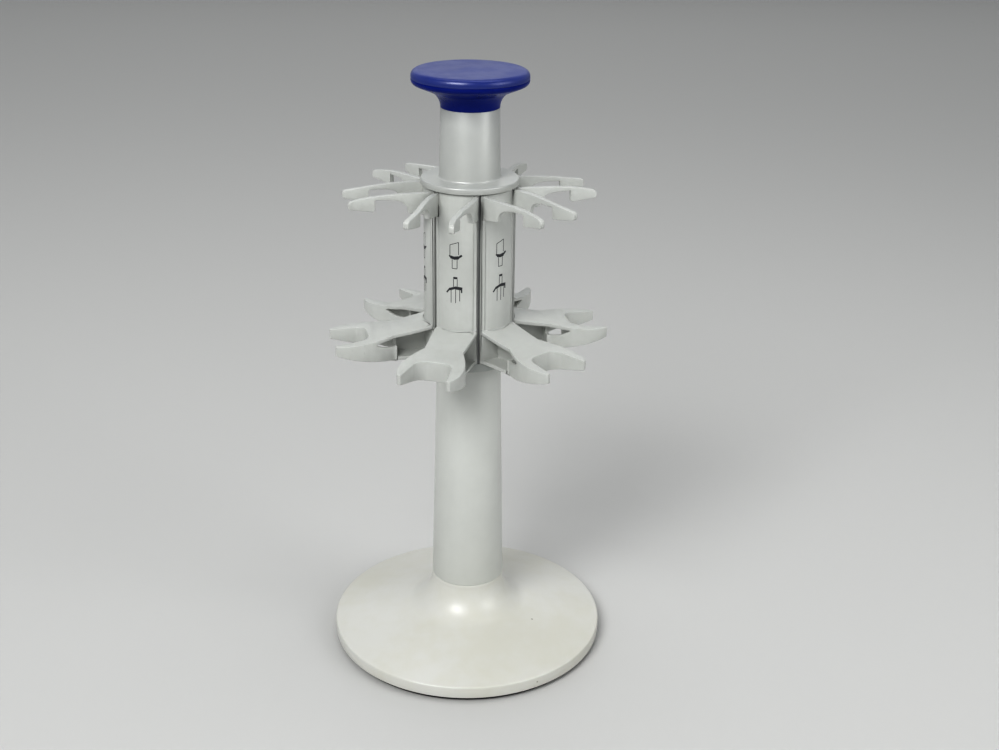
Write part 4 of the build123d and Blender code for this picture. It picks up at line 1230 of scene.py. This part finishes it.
@dataclass
class Studio:
    """Pale floor, even surroundings, soft lights and a picture with a little more contrast."""

    floor_radius: float = 7.0
    floor_steps: int = 96
    floor_colour: Colour = (0.62, 0.62, 0.61)
    floor_roughness: float = 0.6
    floor_specular: float = 0.25
    surround: Colour = (0.97, 0.985, 1.0)
    overhead_share: float = 0.5
    below_share: float = 0.1
    horizon_band: tuple[float, float] = (0.44, 0.50)  # 0 is straight down, 1 is straight up
    bright_until: float = 0.68
    surround_strength: float = 0.60
    picture_gamma: float = 0.66

    def floor(self) -> None:
        """Lay the floor."""
        mesh = bmesh.new()
        bmesh.ops.create_circle(
            mesh, cap_ends=True, segments=self.floor_steps, radius=self.floor_radius
        )
        floor = Shop.finished("floor", mesh)
        material = bpy.data.materials.new("pale_floor")
        material.use_nodes = True
        shader = material.node_tree.nodes["Principled BSDF"]
        shader.inputs["Base Color"].default_value = (*self.floor_colour, 1)
        shader.inputs["Roughness"].default_value = self.floor_roughness
        shader.inputs["Specular IOR Level"].default_value = self.floor_specular
        floor.data.materials.append(material)

    def surroundings(self) -> None:
        """Set even surroundings that are brightest a little above eye level, as pale walls are."""
        world = bpy.data.worlds.new("surroundings")
        world.use_nodes = True
        tree = world.node_tree
        direction = tree.nodes.new("ShaderNodeTexCoord")
        parts = tree.nodes.new("ShaderNodeSeparateXYZ")
        tree.links.new(direction.outputs["Generated"], parts.inputs["Vector"])
        half = tree.nodes.new("ShaderNodeMapRange")
        half.inputs["From Min"].default_value = -1.0
        tree.links.new(parts.outputs["Z"], half.inputs["Value"])
        ramp = tree.nodes.new("ShaderNodeValToRGB")
        ramp.color_ramp.interpolation = "EASE"
        stops = ramp.color_ramp.elements
        dark_until, bright_from = self.horizon_band
        stops[0].position = dark_until
        stops[1].position = 1.0
        for stop, share in ((stops[0], self.below_share), (stops[1], self.overhead_share)):
            stop.color = (*(share * channel for channel in self.surround), 1)
        for position in (bright_from, self.bright_until):
            stops.new(position).color = (*self.surround, 1)
        tree.links.new(half.outputs["Result"], ramp.inputs["Fac"])
        back = tree.nodes["Background"]
        tree.links.new(ramp.outputs["Color"], back.inputs["Color"])
        back.inputs["Strength"].default_value = self.surround_strength
        bpy.context.scene.world = world

    def build(self) -> None:
        """Set the floor, the surroundings and the lights."""
        self.floor()
        self.surroundings()
        view = bpy.context.scene.view_settings
        view.view_transform = "Standard"
        view.gamma = self.picture_gamma
        for light in (
            Softbox("key_light", place=(-1.05, -1.8, 2.1), aim=0.2, size=(1.3, 1.3), power=56.0),
            Softbox("fill_light", place=(1.3, -0.7, 0.9), aim=0.2, size=(0.9, 0.9), power=7.0),
            Softbox("ceiling_light", place=(0.1, 0.25, 1.7), aim=0.1, size=(1.6, 0.8), power=6.0),
            Softbox("wall_light", place=(0.0, 3.2, 2.0), aim=0.3, size=(4.0, 1.6), power=14.0),
        ):
            light.build()


@dataclass
class Viewpoint:
    """The camera, in millimetres and degrees."""

    distance: float = 823.7
    height: float = 542.8
    pitch: float = 23.015
    yaw: float = 1.412
    roll: float = 0.884
    focal_pixels: float = 1358.4
    sensor_width: float = 36.0
    nearest: float = 10.0
    furthest: float = 50000.0

    def build(self) -> None:
        """Place the camera and make it the scene's own."""
        pitch, yaw, roll = (math.radians(a) for a in (self.pitch, self.yaw, self.roll))
        level = Vector((math.sin(yaw), math.cos(yaw), 0))
        forward = level * math.cos(pitch) - Vector((0, 0, math.sin(pitch)))
        level_right = Vector((math.cos(yaw), -math.sin(yaw), 0))
        level_up = level_right.cross(forward)
        right = level_right * math.cos(roll) + level_up * math.sin(roll)
        up = level_up * math.cos(roll) - level_right * math.sin(roll)
        data = bpy.data.cameras.new("camera")
        data.sensor_width = self.sensor_width
        data.lens = self.focal_pixels * self.sensor_width / IMAGE_WIDTH
        data.clip_start = self.nearest * MM
        data.clip_end = self.furthest * MM
        camera = bpy.data.objects.new("camera", data)
        bpy.context.scene.collection.objects.link(camera)
        turn = Matrix((right, up, -forward)).transposed().to_4x4()
        place = Matrix.Translation((0, -self.distance * MM, self.height * MM))
        camera.matrix_world = place @ turn
        bpy.context.scene.camera = camera


# ---- Making --------------------------------------------------------------------------------------


def main() -> None:
    """Load the frame and build each sub-assembly in order."""
    logging.basicConfig(level=logging.INFO, format="%(name)s: %(message)s")
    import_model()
    Viewpoint().build()
    Studio().build()
    paint = Paintbox()
    lathe = Lathe()
    Foot(paint, lathe).build()
    Column(paint, lathe).build()
    Hub(paint, lathe).build()
    Grip(paint, lathe).build()
    KeptSolids(paint).build()


if __name__ == "__main__":
    main()
